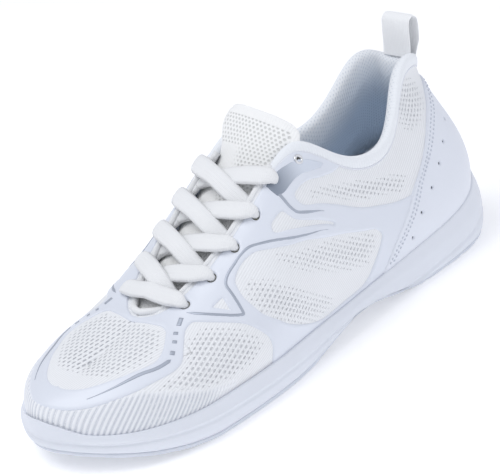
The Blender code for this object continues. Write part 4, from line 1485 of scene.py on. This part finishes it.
def add_stitches(gather, place, level):
    """Stitches along a line on the surface."""
    fine = np.linspace(0, 1, 400)
    place, level = [np.interp(fine, np.linspace(0, 1, len(line)), line) for line in (place, level)]
    run = lengths(skin(place, level))
    share, size, lift = STITCH.T[..., None]
    x, y = [size * STITCH_RADIUS * wave for wave in (np.cos(turns(6)), np.sin(turns(6)))]
    for k in range(int(run[-1] / STITCH_PITCH)):
        at = np.interp([k * STITCH_PITCH, (k + STITCH_SHARE) * STITCH_PITCH], run, fine)
        ends = np.interp(at, fine, place), np.interp(at, fine, level)
        start, end = spot(*ends, STITCH_HEIGHT)
        up = normal(*ends)[0]
        side = unit(np.cross(end - start, up))
        gather.add(*sweep(start + (end - start) * share + up * lift, side[None], up[None], x, y))


def make_stitches():
    thread = Gather()
    for line in SEAMS:
        place, level = (rounded([(p, t, 4) for p, t in line], 1.0, closed=False) / CHART).T
        for sign in (1, -1):
            add_stitches(thread, sign * place, level)
    thread.build("counter_stitches", "thread", "rear")


# ---- camera, light and floor ----

CAMERA = (912.42, 841.46, 576.95)
TARGET = (130.44, 0.91, 46.90)
ROLL = math.radians(-11.03)
LENS = 211.8
FLOOR = 4000                                # half the floor's width


def add_object(name, data):
    made = bpy.data.objects.new(name, data)
    bpy.context.scene.collection.objects.link(made)
    return made


def make_camera():
    data = bpy.data.cameras.new("camera")
    data.sensor_width = 36
    data.lens = LENS
    data.clip_start = 0.05
    data.clip_end = 50
    camera = add_object("camera", data)
    back = Vector(to_world(CAMERA)) - Vector(to_world(TARGET))
    back.normalize()
    side = Vector((-back.y, back.x, 0)).normalized()
    up = back.cross(side)
    right = side * math.cos(ROLL) + up * math.sin(ROLL)
    turn = Matrix((right, back.cross(right), back)).transposed().to_4x4()
    camera.matrix_world = Matrix.Translation(to_world(CAMERA)) @ turn
    bpy.context.scene.camera = camera


def area_light(name, position, target, size, power):
    data = bpy.data.lights.new(name, "AREA")
    data.size = size
    data.energy = power
    light = add_object(name, data)
    light.location = to_world(position)
    aim = Vector(to_world(target)) - light.location
    light.rotation_euler = aim.to_track_quat("-Z", "Y").to_euler()


def make_light():
    scene = bpy.context.scene
    scene.view_settings.view_transform = "Standard"
    scene.world = bpy.data.worlds.new("studio")
    scene.world.use_nodes = True
    background = scene.world.node_tree.nodes["Background"]
    background.inputs["Color"].default_value = (0.95, 0.975, 1.05, 1.0)
    background.inputs["Strength"].default_value = 0.57
    area_light("key", (500, -200, 900), (130, 0, 40), 0.7, 4.3)
    area_light("fill", (250, 1100, 450), (110, 0, 40), 0.9, 1.6)
    area_light("heel", (-600, 500, 500), (60, 0, 50), 0.6, 0.8)


def make_floor():
    graph = Graph("studio_floor", (0.93, 0.93, 0.94), 0.7, specular=0.1)
    graph.set("Base Color", graph.mottle(80.0, 0.01))
    graph.set("Emission Color", (1.0, 1.0, 1.0, 1.0))
    graph.set("Emission Strength", 0.25)
    mesh = bpy.data.meshes.new("floor")
    corners = [(x * FLOOR, y * FLOOR, 0) for x, y in ((-1, -1), (1, -1), (1, 1), (-1, 1))]
    mesh.from_pydata(to_world(corners).tolist(), [], [(0, 1, 2, 3)])
    mesh.materials.append(graph.material)
    add_object("floor", mesh)


make_knit()
make_ribs()
make_film()
make_counter()
make_lines()
make_collar()
make_throat_roll()
make_shells()
make_midsole()
make_outsole()
make_insole()
make_tongue()
make_lace()
make_pull_loop()
make_top_eyelets()
make_stitches()

make_camera()
make_light()
make_floor()
